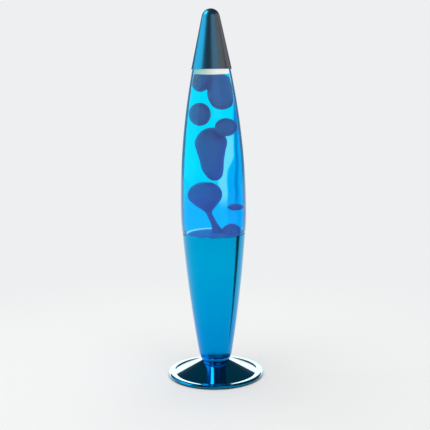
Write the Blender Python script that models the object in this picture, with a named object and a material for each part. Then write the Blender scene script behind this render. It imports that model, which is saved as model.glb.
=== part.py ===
"""Lava lamp, 410 mm tall, built as the pieces that come apart on a bench.

The lamp stands on +Z with its origin under the middle of its foot. Profiles are written in
millimetres as (radius, height) and turned about the lamp's axis.
"""
import math

import bmesh
import bpy
from mathutils import Matrix, Vector

MM = 0.001
GAP = 0.3  # clearance between pieces that touch

# Lamp
CAP_TOP = 410.0
CAP_EDGE = 345.3
CAP_EDGE_R = 22.1
CAP_SLOPE = 0.2136  # radius lost per millimetre of height
CAP_TIP_R = 10.0
CAP_WALL = 0.8
ROUND = 40  # facets round the large pieces
LIQUID_ROUND = 24

# Base
BASE_LOW, BASE_TOP = 24.0, 161.5
BASE_LOW_R, BASE_TOP_R = 18.2, 34.8
BASE_BULGE = 1.5
BASE_WALL = 1.0
FOOT_R = 53.9
FOOT_TOP = 18.0
FOOT_CONE_TOP = (16.6, 17.5)
FOOT_CONE_END = (46.0, 3.7)
FOOT_WALL_DROP = 1.12  # the cone's wall, measured straight down
NECK_HOLE_R = 5.3

# Cord outlet, cut through the back of the foot along Y
OUTLET_Y = (37.5, 56.0)
OUTLET_HALF = 5.2
OUTLET_TOP = 7.4
CORD_SLOT_HALF = 3.1
CORD_SLOT_Z = (2.0, 6.4)

# Bottom cover and feet
COVER_R = 44.5
COVER_Z = (1.5, 2.4)
PAD_R, PAD_HEIGHT, PAD_CIRCLE_R = 4.5, 1.2, 35.0

# Bottle
BOTTLE_MAX_R = 36.5
BOTTLE_MAX_Z = 188.0
BOTTLE_ARC_R = 800.0
SHOULDER_R, SHOULDER_Z = 35.3, 161.9
SHOULDER_BORE_Z = (160.4, 174.0)
SEAT_CLEARANCE = 0.6
BOTTLE_LOW = 128.0
BOTTLE_MOUTH = 365.6
GLASS_WALL = 2.5
LIQUID_LEVEL = 341.0
POOL_LOW, POOL_TOP = 134.6, 164.5

# Small screw base and its holder
THREAD_PITCH = 2.82
THREAD_MEAN_R = 6.545
THREAD_DEPTH = 0.4  # crest and root stand this far either side of the mean
THREAD_CLEARANCE = 0.46
ROWS_PER_TURN = 5
THREAD_FACETS = 16

COLOURS = {
    # name: (colour, metallic, roughness, alpha)
    "blue_anodised": ((0.0, 0.21, 0.45), 1.0, 0.25, 1.0),
    "dark_chrome": ((0.10, 0.20, 0.27), 1.0, 0.12, 1.0),
    "glass": ((0.85, 0.95, 1.0), 0.0, 0.03, 0.3),
    "liquid": ((0.0, 0.72, 1.0), 0.0, 0.1, 0.6),
    "wax": ((0.06, 0.09, 0.33), 0.0, 0.35, 1.0),
    "brass": ((0.78, 0.57, 0.2), 1.0, 0.3, 1.0),
    "steel": ((0.62, 0.63, 0.65), 1.0, 0.32, 1.0),
    "white_ceramic": ((0.85, 0.84, 0.8), 0.0, 0.4, 1.0),
    "black_moulding": ((0.02, 0.02, 0.022), 0.0, 0.45, 1.0),
    "rubber": ((0.03, 0.03, 0.03), 0.0, 0.8, 1.0),
    "fibreboard": ((0.05, 0.05, 0.06), 0.0, 0.85, 1.0),
    "gold_crown": ((0.72, 0.62, 0.32), 1.0, 0.35, 1.0),
}


def make_material(name):
    colour, metallic, roughness, alpha = COLOURS[name]
    made = bpy.data.materials.new(name)
    made.use_nodes = True
    shader = made.node_tree.nodes["Principled BSDF"]
    shader.inputs["Base Color"].default_value = (*colour, 1.0)
    shader.inputs["Metallic"].default_value = metallic
    shader.inputs["Roughness"].default_value = roughness
    shader.inputs["Alpha"].default_value = alpha
    made.diffuse_color = (*colour, alpha)
    return made


def add_object(name, bm, material, parent, place=(0.0, 0.0, 0.0)):
    """Make a node from a bmesh in millimetres. place is where its own origin stands."""
    mesh = bpy.data.meshes.new(name)
    bmesh.ops.recalc_face_normals(bm, faces=bm.faces)
    bm.transform(Matrix.Scale(MM, 4))
    bm.to_mesh(mesh)
    bm.free()
    mesh.shade_smooth()
    mesh.set_sharp_from_angle(angle=math.radians(35))
    mesh.materials.append(MATERIALS[material])
    made = bpy.data.objects.new(name, mesh)
    bpy.context.scene.collection.objects.link(made)
    made.location = Vector(place) * MM
    made.parent = parent
    return made


def add_axis(name, parent=None):
    """An empty on the lamp's axis, which a moving group slides or turns about."""
    made = bpy.data.objects.new(name, None)
    bpy.context.scene.collection.objects.link(made)
    made.empty_display_size = 0.02
    made.parent = parent
    return made


def turn(profile, facets=ROUND):
    """Turn a (radius, height) outline about Z. It is closed unless both its ends lie on the axis."""
    bm = bmesh.new()
    points = [bm.verts.new((r, 0.0, z)) for r, z in profile]
    edges = [bm.edges.new(pair) for pair in zip(points, points[1:])]
    if profile[0][0] > 0.0 or profile[-1][0] > 0.0:
        edges.append(bm.edges.new((points[-1], points[0])))
    bmesh.ops.spin(
        bm,
        geom=points + edges,
        cent=(0.0, 0.0, 0.0),
        axis=(0.0, 0.0, 1.0),
        angle=math.tau,
        steps=facets,
        use_merge=True,
    )
    bmesh.ops.remove_doubles(bm, verts=bm.verts, dist=0.0001)
    return bm


def turned(name, profile, material, parent, facets=ROUND, place=(0.0, 0.0, 0.0)):
    return add_object(name, turn(profile, facets), material, parent, place)


def steps(low, high, count):
    """count + 1 evenly spaced values from low to high."""
    return [low + (high - low) * i / count for i in range(count + 1)]


def cut(target, bm, name):
    """Take a closed shape, given in millimetres in the lamp's frame, out of target."""
    cutter = add_object(name, bm, "steel", None)
    cutter.hide_render = True
    cutter.display_type = "WIRE"
    boolean = target.modifiers.new(name, "BOOLEAN")
    boolean.operation = "DIFFERENCE"
    boolean.solver = "EXACT"
    boolean.object = cutter
    return cutter


def box(low, high):
    """A closed box between two corners."""
    bm = bmesh.new()
    bmesh.ops.create_cube(bm, size=1.0)
    size = [h - l for l, h in zip(low, high)]
    middle = [(h + l) / 2 for l, h in zip(low, high)]
    bm.transform(Matrix.Translation(middle) @ Matrix.Diagonal((*size, 1.0)))
    return bm


def base_radius(z):
    """The upper cone's outside: a straight taper with a shallow parabolic bulge."""
    t = (z - BASE_LOW) / (BASE_TOP - BASE_LOW)
    return BASE_LOW_R + (BASE_TOP_R - BASE_LOW_R) * t + 4.0 * BASE_BULGE * t * (1.0 - t)


def bottle_radius(z):
    """The bottle's outside above its shoulder: one long arc, and a tighter curve below its widest."""
    if z < BOTTLE_MAX_Z:
        t = (BOTTLE_MAX_Z - z) / (BOTTLE_MAX_Z - SHOULDER_Z)
        return BOTTLE_MAX_R - (BOTTLE_MAX_R - SHOULDER_R) * t * t
    rise = z - BOTTLE_MAX_Z
    return BOTTLE_MAX_R - BOTTLE_ARC_R + math.sqrt(BOTTLE_ARC_R**2 - rise**2)


def cap_radius(z):
    """The cap's outside: a straight cone that runs into a ball."""
    lean = math.atan(CAP_SLOPE)
    middle = CAP_TOP - CAP_TIP_R
    joint = middle + CAP_TIP_R * math.sin(lean)
    if z > joint:
        return math.sqrt(max(0.0, CAP_TIP_R**2 - (z - middle) ** 2))
    joint_r = CAP_TIP_R * math.cos(lean)
    return CAP_EDGE_R + (joint_r - CAP_EDGE_R) * (z - CAP_EDGE) / (joint - CAP_EDGE)


def seat_radius(z):
    """The outside of the bottle's lower end, which drops into the base."""
    return base_radius(z) - BASE_WALL - SEAT_CLEARANCE


def bore_radius(z):
    """The inside of the bottle, with a straight run across its shoulder."""
    low, high = SHOULDER_BORE_Z
    if z >= high:
        return bottle_radius(z) - GLASS_WALL
    if z <= low:
        return seat_radius(z) - GLASS_WALL
    low_r, high_r = seat_radius(low) - GLASS_WALL, bottle_radius(high) - GLASS_WALL
    return low_r + (high_r - low_r) * (z - low) / (high - low)


def liquid_radius(z):
    """The inside of the bottle, less the clearance."""
    return bore_radius(z) - GAP


# ---- base ----------------------------------------------------------------------------------


def build_base_cone(parent):
    heights = steps(BASE_LOW + 1.0, BASE_TOP, 6)
    outside = [(base_radius(z), z) for z in heights]
    inside = [(base_radius(z) - BASE_WALL, z) for z in reversed(heights[1:])]
    floor = BASE_LOW + 1.2
    low = [(base_radius(floor) - BASE_WALL - 0.9, floor), (NECK_HOLE_R, floor), (NECK_HOLE_R, BASE_LOW)]
    edge = [(BASE_LOW_R - 0.9, BASE_LOW)]
    turned("base_cone", edge + outside + inside + low, "blue_anodised", parent)


def build_neck_collar(parent):
    profile = [(9.0, 18.4), (16.3, 18.4), (16.8, 21.0), (17.2, 23.1), (16.7, 23.7), (9.0, 23.7)]
    turned("neck_collar", profile, "blue_anodised", parent)


def build_foot_flange(parent):
    bead_outside = [(47.4, 4.3), (49.8, 5.0), (52.4, 4.4), (FOOT_R, 2.7), (53.7, 1.5)]
    bead_inside = [(52.6, 1.5), (52.6, 2.6), (51.6, 3.6), (49.8, 3.9), (48.0, 3.2)]
    cone_inside = [
        (FOOT_CONE_END[0] + 0.3, FOOT_CONE_END[1] - FOOT_WALL_DROP),
        (FOOT_CONE_TOP[0] + 0.4, FOOT_CONE_TOP[1] - FOOT_WALL_DROP - 0.3),
        (NECK_HOLE_R, FOOT_TOP - FOOT_WALL_DROP),
    ]
    top = [(NECK_HOLE_R, FOOT_TOP), (FOOT_CONE_TOP[0] - 0.7, FOOT_TOP), FOOT_CONE_TOP]
    outside = top + [FOOT_CONE_END] + bead_outside
    foot = turned("foot_flange", outside + bead_inside + cone_inside, "blue_anodised", parent)
    notch = box((-OUTLET_HALF, OUTLET_Y[0], 0.0), (OUTLET_HALF, OUTLET_Y[1], OUTLET_TOP))
    cut(foot, notch, "outlet_notch")


def build_cord_grommet(parent):
    """A rubber tunnel that fills the notch at the back. A flat cord would lie in its slot."""
    low, high = OUTLET_Y[0] + 0.4, FOOT_R
    half = OUTLET_HALF - GAP
    bm = box((-half, low, 1.4), (half, high, OUTLET_TOP - GAP))
    top_edges = [
        e for e in bm.edges
        if all(v.co.z > 6.0 for v in e.verts) and abs(e.verts[0].co.x - e.verts[1].co.x) < 0.1
    ]
    bmesh.ops.bevel(bm, geom=top_edges, offset=1.0, segments=2, profile=0.5, affect="EDGES")
    grommet = add_object("cord_grommet", bm, "rubber", parent)
    slot = box(
        (-CORD_SLOT_HALF, low - 1.0, CORD_SLOT_Z[0]),
        (CORD_SLOT_HALF, high + 1.0, CORD_SLOT_Z[1]),
    )
    cut(grommet, slot, "cord_slot")


def build_bottom_cover(parent):
    """A pressed board disc with a ring of vents, notched where the grommet stands."""
    low, high = COVER_Z
    cover = turned(
        "bottom_cover", [(0.0, low), (COVER_R, low), (COVER_R, high), (0.0, high)], "fibreboard", parent
    )
    vents, vent_circle, vent_r = 8, 22.0, 2.7
    holes = bmesh.new()
    for i in range(vents):
        turn_by = math.tau * i / vents
        centre = (vent_circle * math.cos(turn_by), vent_circle * math.sin(turn_by), low)
        bmesh.ops.create_cone(
            holes, cap_ends=True, segments=12, radius1=vent_r, radius2=vent_r, depth=6.0,
            matrix=Matrix.Translation(centre),
        )
    cut(cover, holes, "vent_holes")
    notch = box((-OUTLET_HALF - 0.2, OUTLET_Y[0] - 0.2, 0.0), (OUTLET_HALF + 0.2, OUTLET_Y[1], 5.0))
    cut(cover, notch, "cover_notch")


def build_feet(parent):
    for i in range(4):
        turn_by = math.tau * (i + 0.5) / 4
        place = (PAD_CIRCLE_R * math.cos(turn_by), PAD_CIRCLE_R * math.sin(turn_by), 0.0)
        profile = [(0.0, 0.0), (PAD_R - 0.3, 0.0), (PAD_R, 0.4), (PAD_R, PAD_HEIGHT), (0.0, PAD_HEIGHT)]
        turned(f"rubber_foot_{i + 1}", profile, "rubber", parent, 20, place)


def mill_hexagon(bm, flats):
    """Move the outer wall of a turned ring onto a hexagon of that width across its flats."""
    for vert in bm.verts:
        r = math.hypot(vert.co.x, vert.co.y)
        if abs(r - flats / 2) > 0.01:
            continue
        off_flat = (math.atan2(vert.co.y, vert.co.x) + math.pi / 6) % (math.pi / 3) - math.pi / 6
        vert.co.x /= math.cos(math.pi / 6 - abs(off_flat))
        vert.co.y /= math.cos(math.pi / 6 - abs(off_flat))


def build_fixing(parent):
    """The hollow threaded tube that clamps foot, collar and cone together, with its hardware."""
    tube_r, bore_r, tube_low, tube_high = 5.0, 3.3, 8.5, 34.0
    profile = [(bore_r, tube_low), (tube_r, tube_low), (tube_r, tube_high), (bore_r, tube_high)]
    turned("threaded_tube", profile, "steel", parent, 24)
    flats, nut_height = 14.0, 3.6
    for name, low in (("lower_nut", 12.9), ("upper_nut", 26.3)):
        nut = [(NECK_HOLE_R, low), (flats / 2, low), (flats / 2, low + nut_height)]
        bm = turn(nut + [(NECK_HOLE_R, low + nut_height)], 24)
        mill_hexagon(bm, flats)
        add_object(name, bm, "steel", parent)
    washer_low, washer_r, washer_height = 25.5, 7.6, 0.5
    washer = [(NECK_HOLE_R, washer_low), (washer_r, washer_low)]
    washer += [(washer_r, washer_low + washer_height), (NECK_HOLE_R, washer_low + washer_height)]
    turned("lock_washer", washer, "steel", parent, 24)


# ---- threads -------------------------------------------------------------------------------


def thread_heights(low, turns):
    """Rows of a thread, ROWS_PER_TURN to each pitch."""
    return [low + THREAD_PITCH * i / ROWS_PER_TURN for i in range(round(turns * ROWS_PER_TURN) + 1)]


def roll_thread(bm, near_r, low, high):
    """Push the rows near one radius into a right-hand helix: r + depth * cos(angle - 2 pi z / pitch)."""
    for vert in bm.verts:
        r = math.hypot(vert.co.x, vert.co.y)
        if abs(r - near_r) > 0.01 or not low - 0.01 < vert.co.z < high + 0.01:
            continue
        angle = math.atan2(vert.co.y, vert.co.x)
        wave = THREAD_DEPTH * math.cos(angle - math.tau * vert.co.z / THREAD_PITCH)
        vert.co.x *= (r + wave) / r
        vert.co.y *= (r + wave) / r


# ---- lampholder ----------------------------------------------------------------------------


def build_lampholder(parent):
    dome = [
        (NECK_HOLE_R, 30.4), (8.6, 30.4), (11.8, 33.2), (13.2, 37.6), (13.2, 43.5),
        (12.0, 43.5), (12.0, 38.0), (10.9, 34.4), (8.2, 31.9), (NECK_HOLE_R, 31.9),
    ]
    turned("holder_dome", dome, "white_ceramic", parent, 24)
    insulator = [(0.0, 38.8), (11.6, 38.8), (11.6, 43.4), (0.0, 43.4)]
    turned("holder_insulator", insulator, "white_ceramic", parent, 24)
    skirt = [(9.8, 43.9), (13.3, 43.9), (13.3, 64.2), (12.4, 66.8), (9.8, 66.8)]
    turned("holder_skirt", skirt, "white_ceramic", parent, 24)
    contact = [(0.0, 43.7), (3.2, 43.7), (3.2, 44.3), (1.7, 45.4), (0.0, 45.4)]
    turned("centre_contact", contact, "brass", parent, 16)
    for i, side in enumerate((-1.0, 1.0)):
        screw = [(0.0, 36.4), (1.7, 36.4), (1.7, 38.5), (0.0, 38.5)]
        turned(f"terminal_screw_{i + 1}", screw, "brass", parent, 12, (7.0 * side, 0.0, 0.0))
    build_thread_shell(parent)


def build_thread_shell(parent):
    """The holder's rolled brass shell, with the thread on its inside."""
    low, high, outer_r, entry_r = 43.9, 65.6, 8.9, 7.4
    bore_r = THREAD_MEAN_R + THREAD_CLEARANCE
    rows = thread_heights(50.0, 4.8)
    profile = [(outer_r, low), (outer_r, high), (entry_r, high)]
    profile += [(bore_r, z) for z in reversed(rows)]
    profile += [(entry_r, low)]
    bm = turn(profile, THREAD_FACETS)
    roll_thread(bm, bore_r, rows[0], rows[-1])
    add_object("holder_thread_shell", bm, "brass", parent)


# ---- bulb ----------------------------------------------------------------------------------


def build_bulb(contact_parent, bulb_parent):
    tip = [(0.0, 45.8), (1.6, 45.8), (2.4, 46.4), (2.4, 47.3), (0.0, 47.3)]
    turned("bulb_tip_contact", tip, "steel", contact_parent, 16)
    insulator = [(0.0, 47.6), (2.6, 47.6), (5.6, 50.2), (5.6, 51.2), (0.0, 51.2)]
    turned("bulb_insulator", insulator, "black_moulding", bulb_parent, 20)
    build_bulb_screw_cap(bulb_parent)
    glass = [
        (5.2, 58.0), (5.2, 67.0), (6.3, 71.0), (9.6, 76.0), (15.2, 83.5), (18.6, 89.5),
        (19.5, 94.5), (18.5, 101.0), (15.0, 105.2), (8.5, 107.6), (0.0, 108.2),
    ]
    wall = 0.8
    inside = [(0.0, 108.2 - wall), (8.2, 106.8), (14.5, 104.5), (17.7, 100.6), (18.7, 94.5)]
    inside += [(17.8, 89.8), (14.5, 84.0), (8.9, 76.5), (5.6, 71.3), (4.4, 67.0), (4.4, 58.0)]
    turned("bulb_glass", glass + inside, "glass", bulb_parent, 20)
    stem = [(0.0, 60.0), (3.2, 60.0), (2.0, 64.0), (1.3, 74.0), (1.6, 77.0), (0.0, 77.6)]
    turned("bulb_stem", stem, "glass", bulb_parent, 12)
    for i, side in enumerate((-1.0, 1.0)):
        wire = [(2.4 * side, 66.0), (2.6 * side, 76.0), (5.0 * side, 84.0)]
        add_wire(f"lead_wire_{i + 1}", [(x, 0.0, z) for x, z in wire], 0.3, "steel", bulb_parent)
    count = 8
    arch = []
    for i in range(count + 1):
        side = 2.0 * i / count - 1.0
        arch.append((4.9 * side, 0.0, 84.9 + 2.4 * (1.0 - side * side)))
    add_wire("filament", arch, 0.28, "steel", bulb_parent)


def build_bulb_screw_cap(parent):
    """The bulb's screw shell, open at both ends, with the thread on its outside."""
    low, high, bore_r = 51.5, 66.3, 5.5
    rows = thread_heights(52.4, 3.6)
    profile = [(bore_r, low), (6.1, low)]
    profile += [(THREAD_MEAN_R, z) for z in rows]
    profile += [(6.2, 63.6), (6.2, high), (bore_r, high)]
    bm = turn(profile, THREAD_FACETS)
    roll_thread(bm, THREAD_MEAN_R, rows[0], rows[-1])
    add_object("bulb_screw_cap", bm, "steel", parent)


def add_wire(name, points, radius, material, parent):
    """A round wire through points given in millimetres, with closed ends."""
    curve = bpy.data.curves.new(name, "CURVE")
    curve.dimensions = "3D"
    curve.bevel_depth = radius * MM
    curve.bevel_resolution = 2
    curve.use_fill_caps = True
    spline = curve.splines.new("POLY")
    spline.points.add(len(points) - 1)
    for target, point in zip(spline.points, points):
        target.co = (*(Vector(point) * MM), 1.0)
    curve.materials.append(MATERIALS[material])
    made = bpy.data.objects.new(name, curve)
    bpy.context.scene.collection.objects.link(made)
    made.parent = parent
    return made


# ---- bottle --------------------------------------------------------------------------------


def build_bottle_glass(parent):
    """The bottle: a seat that drops into the base, a shoulder on the base's rim, and a neck."""
    seat = steps(BOTTLE_LOW + 3.0, SHOULDER_Z, 2)
    body = [SHOULDER_Z, SHOULDER_BORE_Z[1], BOTTLE_MAX_Z] + steps(222.0, CAP_EDGE, 4)
    outside = [(0.0, BOTTLE_LOW), (seat_radius(BOTTLE_LOW) - 3.0, BOTTLE_LOW)]
    outside += [(seat_radius(z), z) for z in seat]
    outside += [(bottle_radius(z), z) for z in body]
    neck = [(17.6, 352.0), (13.2, 359.0), (13.7, 362.0), (13.7, BOTTLE_MOUTH)]
    mouth_r = 9.6
    inside = [(mouth_r, BOTTLE_MOUTH), (mouth_r, 360.0), (14.8, 351.0)]
    inside += [(bore_radius(z), z) for z in reversed(body[1:])]
    inside += [(bore_radius(z), z) for z in (SHOULDER_BORE_Z[0], 137.0)]
    floor = BOTTLE_LOW + 4.0
    inside += [(bore_radius(floor) - 2.2, floor), (0.0, floor)]
    turned("bottle_glass", outside + neck + inside, "glass", parent)


def build_crown(parent):
    """The crown closure: a steel cap with pinched flutes, and its sealing liner."""
    skirt_low, skirt_high, flutes, pinch = 359.9, 363.6, 21, 0.35
    inner_top = BOTTLE_MOUTH + 1.2
    outside = [(15.2, skirt_low), (14.9, skirt_high), (14.5, 366.4), (12.6, 367.4), (0.0, 367.4)]
    inside = [(0.0, inner_top), (12.3, inner_top), (14.0, 365.9), (14.1, skirt_high), (14.6, skirt_low)]
    bm = turn(outside + inside, 2 * flutes)
    for vert in bm.verts:
        if vert.co.z > skirt_high - 0.1:
            continue
        flute = round(math.atan2(vert.co.y, vert.co.x) / (math.pi / flutes))
        r = math.hypot(vert.co.x, vert.co.y)
        grow = 1.0 + (pinch if flute % 2 else -pinch) / r
        vert.co.x *= grow
        vert.co.y *= grow
    add_object("crown_cap", bm, "gold_crown", parent)
    low = BOTTLE_MOUTH + GAP
    liner = [(0.0, low), (12.0, low), (12.0, low + 0.6), (0.0, low + 0.6)]
    turned("crown_liner", liner, "rubber", parent, 24)


def loft(sections, facets=14, grow=0.0):
    """A closed blob through flat ellipses, each (x, y, z, half width, half depth), from the top down.

    grow moves every wall outwards by that much. The end sections close on points.
    """
    bm = bmesh.new()
    rings = []
    last = len(sections) - 1
    for i, (x, y, z, wide, deep) in enumerate(sections):
        lift = grow if i == 0 else -grow if i == last else 0.0
        if wide == 0.0:
            rings.append([bm.verts.new((x, y, z + lift))])
            continue
        ring = []
        for k in range(facets):
            angle = math.tau * k / facets
            across, along = (wide + grow) * math.cos(angle), (deep + grow) * math.sin(angle)
            ring.append(bm.verts.new((x + across, y + along, z + lift)))
        rings.append(ring)
    for upper, lower in zip(rings, rings[1:]):
        for k in range(facets):
            corners = [upper[k % len(upper)], upper[(k + 1) % facets % len(upper)]]
            corners += [lower[(k + 1) % facets % len(lower)], lower[k % len(lower)]]
            bm.faces.new(list(dict.fromkeys(corners)))
    return bm


def at_wall(y, z, wide):
    """Where a round blob of that half width is centred, on X, when it lies against the glass."""
    return math.sqrt((liquid_radius(z) - wide - 0.05) ** 2 - y**2)


def drop(x, y, top, low, wide, deep, widest=0.5, rows=8):
    """Sections of a free blob: half width sin(angle), with its widest row moved up or down."""
    sections = []
    for i in range(rows + 1):
        angle = math.pi * i / rows
        share = (1.0 - math.cos(angle)) / 2.0
        bend = share + (widest - 0.5) * math.sin(angle) ** 2
        swell = math.sin(angle) if 0 < i < rows else 0.0
        sections.append((x, y, top + (low - top) * bend, wide * swell, deep * swell))
    return sections


# Sections of the wax, (x, y, z, half width, half depth)
WAX = {
    "wax_left": drop(-at_wall(2.0, 297.2, 12.0), 2.0, 309.5, 284.9, 12.0, 12.0),
    "wax_right": drop(at_wall(-6.0, 282.6, 12.0), -6.0, 292.4, 272.9, 12.0, 12.0),
    "wax_flat": drop(at_wall(-4.0, 193.8, 9.0), -4.0, 197.2, 190.4, 9.0, 9.0),
    "wax_pear": [
        (-0.6, 10.0, 281.6, 0.0, 0.0), (-0.6, 10.0, 280.3, 6.5, 6.5), (-1.0, 10.0, 276.0, 12.0, 12.0),
        (-0.9, 8.0, 266.0, 16.8, 15.5), (-0.6, 6.0, 256.0, 15.2, 14.5), (0.2, 4.0, 246.0, 13.0, 12.8),
        (0.8, 2.0, 236.0, 12.2, 12.0), (1.6, 2.0, 228.5, 9.6, 9.6), (1.9, 2.0, 224.2, 5.0, 5.0),
        (1.9, 2.0, 223.0, 0.0, 0.0),
    ],
    "wax_top_left": [
        (-9.6, -1.0, 340.4, 0.0, 0.0), (-9.6, -1.0, 340.2, 8.2, 12.0), (-10.4, -1.0, 334.0, 9.0, 13.0),
        (-10.8, -1.0, 328.0, 9.0, 12.5), (-10.0, -1.0, 324.2, 6.2, 9.0), (-9.1, -1.0, 322.4, 0.0, 0.0),
    ],
    "wax_top_right": [
        (9.6, 0.0, 340.4, 0.0, 0.0), (9.6, 0.0, 340.2, 8.6, 13.5), (10.5, 0.0, 333.0, 9.4, 14.5),
        (11.2, 0.0, 324.0, 10.8, 16.0), (12.0, 0.0, 315.0, 11.0, 15.0), (12.8, 0.0, 306.5, 9.0, 11.5),
        (13.0, 0.0, 303.3, 5.5, 7.0), (13.0, 0.0, 302.0, 0.0, 0.0),
    ],
}
STALK = [
    (-7.5, 1.0, 220.2, 0.0, 0.0), (-7.5, 1.0, 219.6, 7.0, 7.0), (-8.0, 1.0, 216.0, 14.0, 12.5),
    (-8.4, 1.0, 210.0, 18.2, 15.5), (-8.8, 0.0, 203.5, 18.4, 15.5), (-8.2, 0.0, 197.0, 13.4, 12.0),
    (-6.2, 0.0, 189.5, 5.2, 5.2), (-2.2, 0.0, 180.5, 3.6, 3.6), (1.4, 0.0, 173.0, 4.0, 4.0),
    (3.9, 0.0, 167.0, 6.4, 6.4), (4.2, 0.0, 160.0, 9.0, 9.0), (4.2, 0.0, 150.0, 0.0, 0.0),
]
MOUND = [
    (20.0, -4.0, 174.0, 0.0, 0.0), (20.0, -4.0, 172.9, 5.0, 5.0), (19.8, -4.0, 169.0, 9.6, 9.0),
    (19.5, -4.0, 163.0, 10.5, 10.5), (19.0, -4.0, 152.0, 0.0, 0.0),
]


def pool_outline(grow=0.0):
    """The settled wax: it fills the bottom of the bottle and domes a little."""
    heights = [137.0, SHOULDER_BORE_Z[0], POOL_TOP - 2.0]
    wall = [(liquid_radius(z) + grow, z) for z in heights]
    low_r = liquid_radius(POOL_LOW) - 1.6
    crown = [(0.84 * wall[-1][0], POOL_TOP + grow), (0.0, POOL_TOP + 1.0 + grow)]
    return [(0.0, POOL_LOW - grow), (low_r, POOL_LOW - grow)] + wall + crown


def build_wax(parent):
    for name, sections in WAX.items():
        add_object(name, loft(sections), "wax", parent)
    pool = turned("wax_pool", pool_outline(), "wax", parent, LIQUID_ROUND)
    for name, sections in (("stalk", STALK), ("mound", MOUND)):
        piece = cut(pool, loft(sections), f"pool_{name}")
        pool.modifiers[f"pool_{name}"].operation = "UNION"
        piece.parent = parent


def build_liquid(parent):
    """The clear liquid above the settled wax, with a hollow round each blob.

    The hollows break through its outside or its ends, and the pear's is joined to the stalk's by
    the thread of wax that has just parted between them.
    """
    body = [POOL_TOP - 1.5, SHOULDER_BORE_Z[1], BOTTLE_MAX_Z] + steps(222.0, LIQUID_LEVEL, 4)
    outside = [(liquid_radius(z), z) for z in body]
    liquid = turned(
        "liquid", [(0.0, body[0])] + outside + [(0.0, LIQUID_LEVEL)], "liquid", parent, LIQUID_ROUND
    )
    for name, sections in {**WAX, "stalk": STALK, "mound": MOUND}.items():
        cut(liquid, loft(sections, grow=0.4), f"hollow_{name}")
    cut(liquid, turn(pool_outline(0.4), LIQUID_ROUND), "hollow_pool")
    strand = box((-0.9, 1.2, 214.0), (0.9, 3.0, 230.0))
    cut(liquid, strand, "parted_strand")
    for name in ("wax_top_left", "wax_top_right"):
        x, y, z, wide, deep = WAX[name][1]
        vent = box((x - wide / 2, y - deep / 2, z - 2.0), (x + wide / 2, y + deep / 2, LIQUID_LEVEL + 1.0))
        cut(liquid, vent, f"surface_{name}")


def build_wire_coil(parent):
    """A loose ring of wire on the bottle's floor, under the wax."""
    ring_r, wire_r, z, count = 17.0, 0.8, 133.15, 24
    points = []
    for i in range(count + 1):
        angle = math.radians(350.0) * i / count
        points.append((ring_r * math.cos(angle), ring_r * math.sin(angle), z))
    add_wire("wire_coil", points, wire_r, "steel", parent)


# ---- cap -----------------------------------------------------------------------------------


def build_cap(parent):
    """The pointed metal cap: a thin cone with a ball tip that drops over the bottle's neck."""
    cone = [CAP_EDGE, 362.0, 382.0, 400.0]
    outside = [(cap_radius(z), z) for z in cone]
    for i in range(1, 5):
        angle = math.radians(12.0 + 78.0 * i / 4)
        outside.append((CAP_TIP_R * math.cos(angle), CAP_TOP - CAP_TIP_R + CAP_TIP_R * math.sin(angle)))
    outside[-1] = (0.0, CAP_TOP)
    inside = [(0.0, CAP_TOP - CAP_WALL)]
    for i in range(3, 0, -1):
        angle = math.radians(12.0 + 78.0 * i / 4)
        ball_r = CAP_TIP_R - CAP_WALL
        inside.append((ball_r * math.cos(angle), CAP_TOP - CAP_TIP_R + ball_r * math.sin(angle)))
    inside += [(cap_radius(z) - CAP_WALL * 1.02, z) for z in reversed(cone)]
    turned("cap", outside + inside, "dark_chrome", parent)


for old in list(bpy.data.objects):
    bpy.data.objects.remove(old)
MATERIALS = {name: make_material(name) for name in COLOURS}

lamp_axis = add_axis("lamp_axis")
contact_axis = add_axis("bulb_contact_axis", lamp_axis)
bulb_axis = add_axis("bulb_axis", contact_axis)
bottle_axis = add_axis("bottle_axis", lamp_axis)
cap_axis = add_axis("cap_axis", bottle_axis)

build_base_cone(lamp_axis)
build_neck_collar(lamp_axis)
build_foot_flange(lamp_axis)
build_cord_grommet(lamp_axis)
build_bottom_cover(lamp_axis)
build_feet(lamp_axis)
build_fixing(lamp_axis)
build_lampholder(lamp_axis)
build_bulb(contact_axis, bulb_axis)
build_bottle_glass(bottle_axis)
build_crown(bottle_axis)
build_wax(bottle_axis)
build_liquid(bottle_axis)
build_wire_coil(bottle_axis)
build_cap(cap_axis)
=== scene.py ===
import math

import bmesh
import bpy
import numpy as np
from bpy.props import FloatProperty, FloatVectorProperty, IntProperty, PointerProperty
from mathutils import Matrix, Vector


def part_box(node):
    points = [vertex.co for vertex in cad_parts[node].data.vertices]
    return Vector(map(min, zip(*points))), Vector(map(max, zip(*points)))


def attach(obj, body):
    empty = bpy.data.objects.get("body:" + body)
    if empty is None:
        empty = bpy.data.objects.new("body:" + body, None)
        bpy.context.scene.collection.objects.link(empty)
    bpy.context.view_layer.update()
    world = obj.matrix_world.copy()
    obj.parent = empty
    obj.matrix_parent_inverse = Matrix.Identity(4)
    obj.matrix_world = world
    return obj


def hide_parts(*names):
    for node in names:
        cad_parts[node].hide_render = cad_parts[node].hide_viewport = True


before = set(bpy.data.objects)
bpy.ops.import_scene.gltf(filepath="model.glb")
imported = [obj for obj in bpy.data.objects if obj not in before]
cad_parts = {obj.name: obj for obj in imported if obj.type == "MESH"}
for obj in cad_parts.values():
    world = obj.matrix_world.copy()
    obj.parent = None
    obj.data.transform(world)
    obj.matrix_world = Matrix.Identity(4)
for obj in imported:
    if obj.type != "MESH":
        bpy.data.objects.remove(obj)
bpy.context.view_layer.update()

bl_info = {
    "name": "Lava Lamp",
    "version": (1, 0, 0),
    "blender": (4, 5, 0),
    "location": "View3D > Sidebar > Lava Lamp",
    "description": "Builds a bottle lamp of liquid and melted wax on its turned metal base",
    "category": "Add Mesh",
}

MM = 0.001
TAU = math.tau


# ---- sizes and colours ---------------------------------------------------------------------


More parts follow.
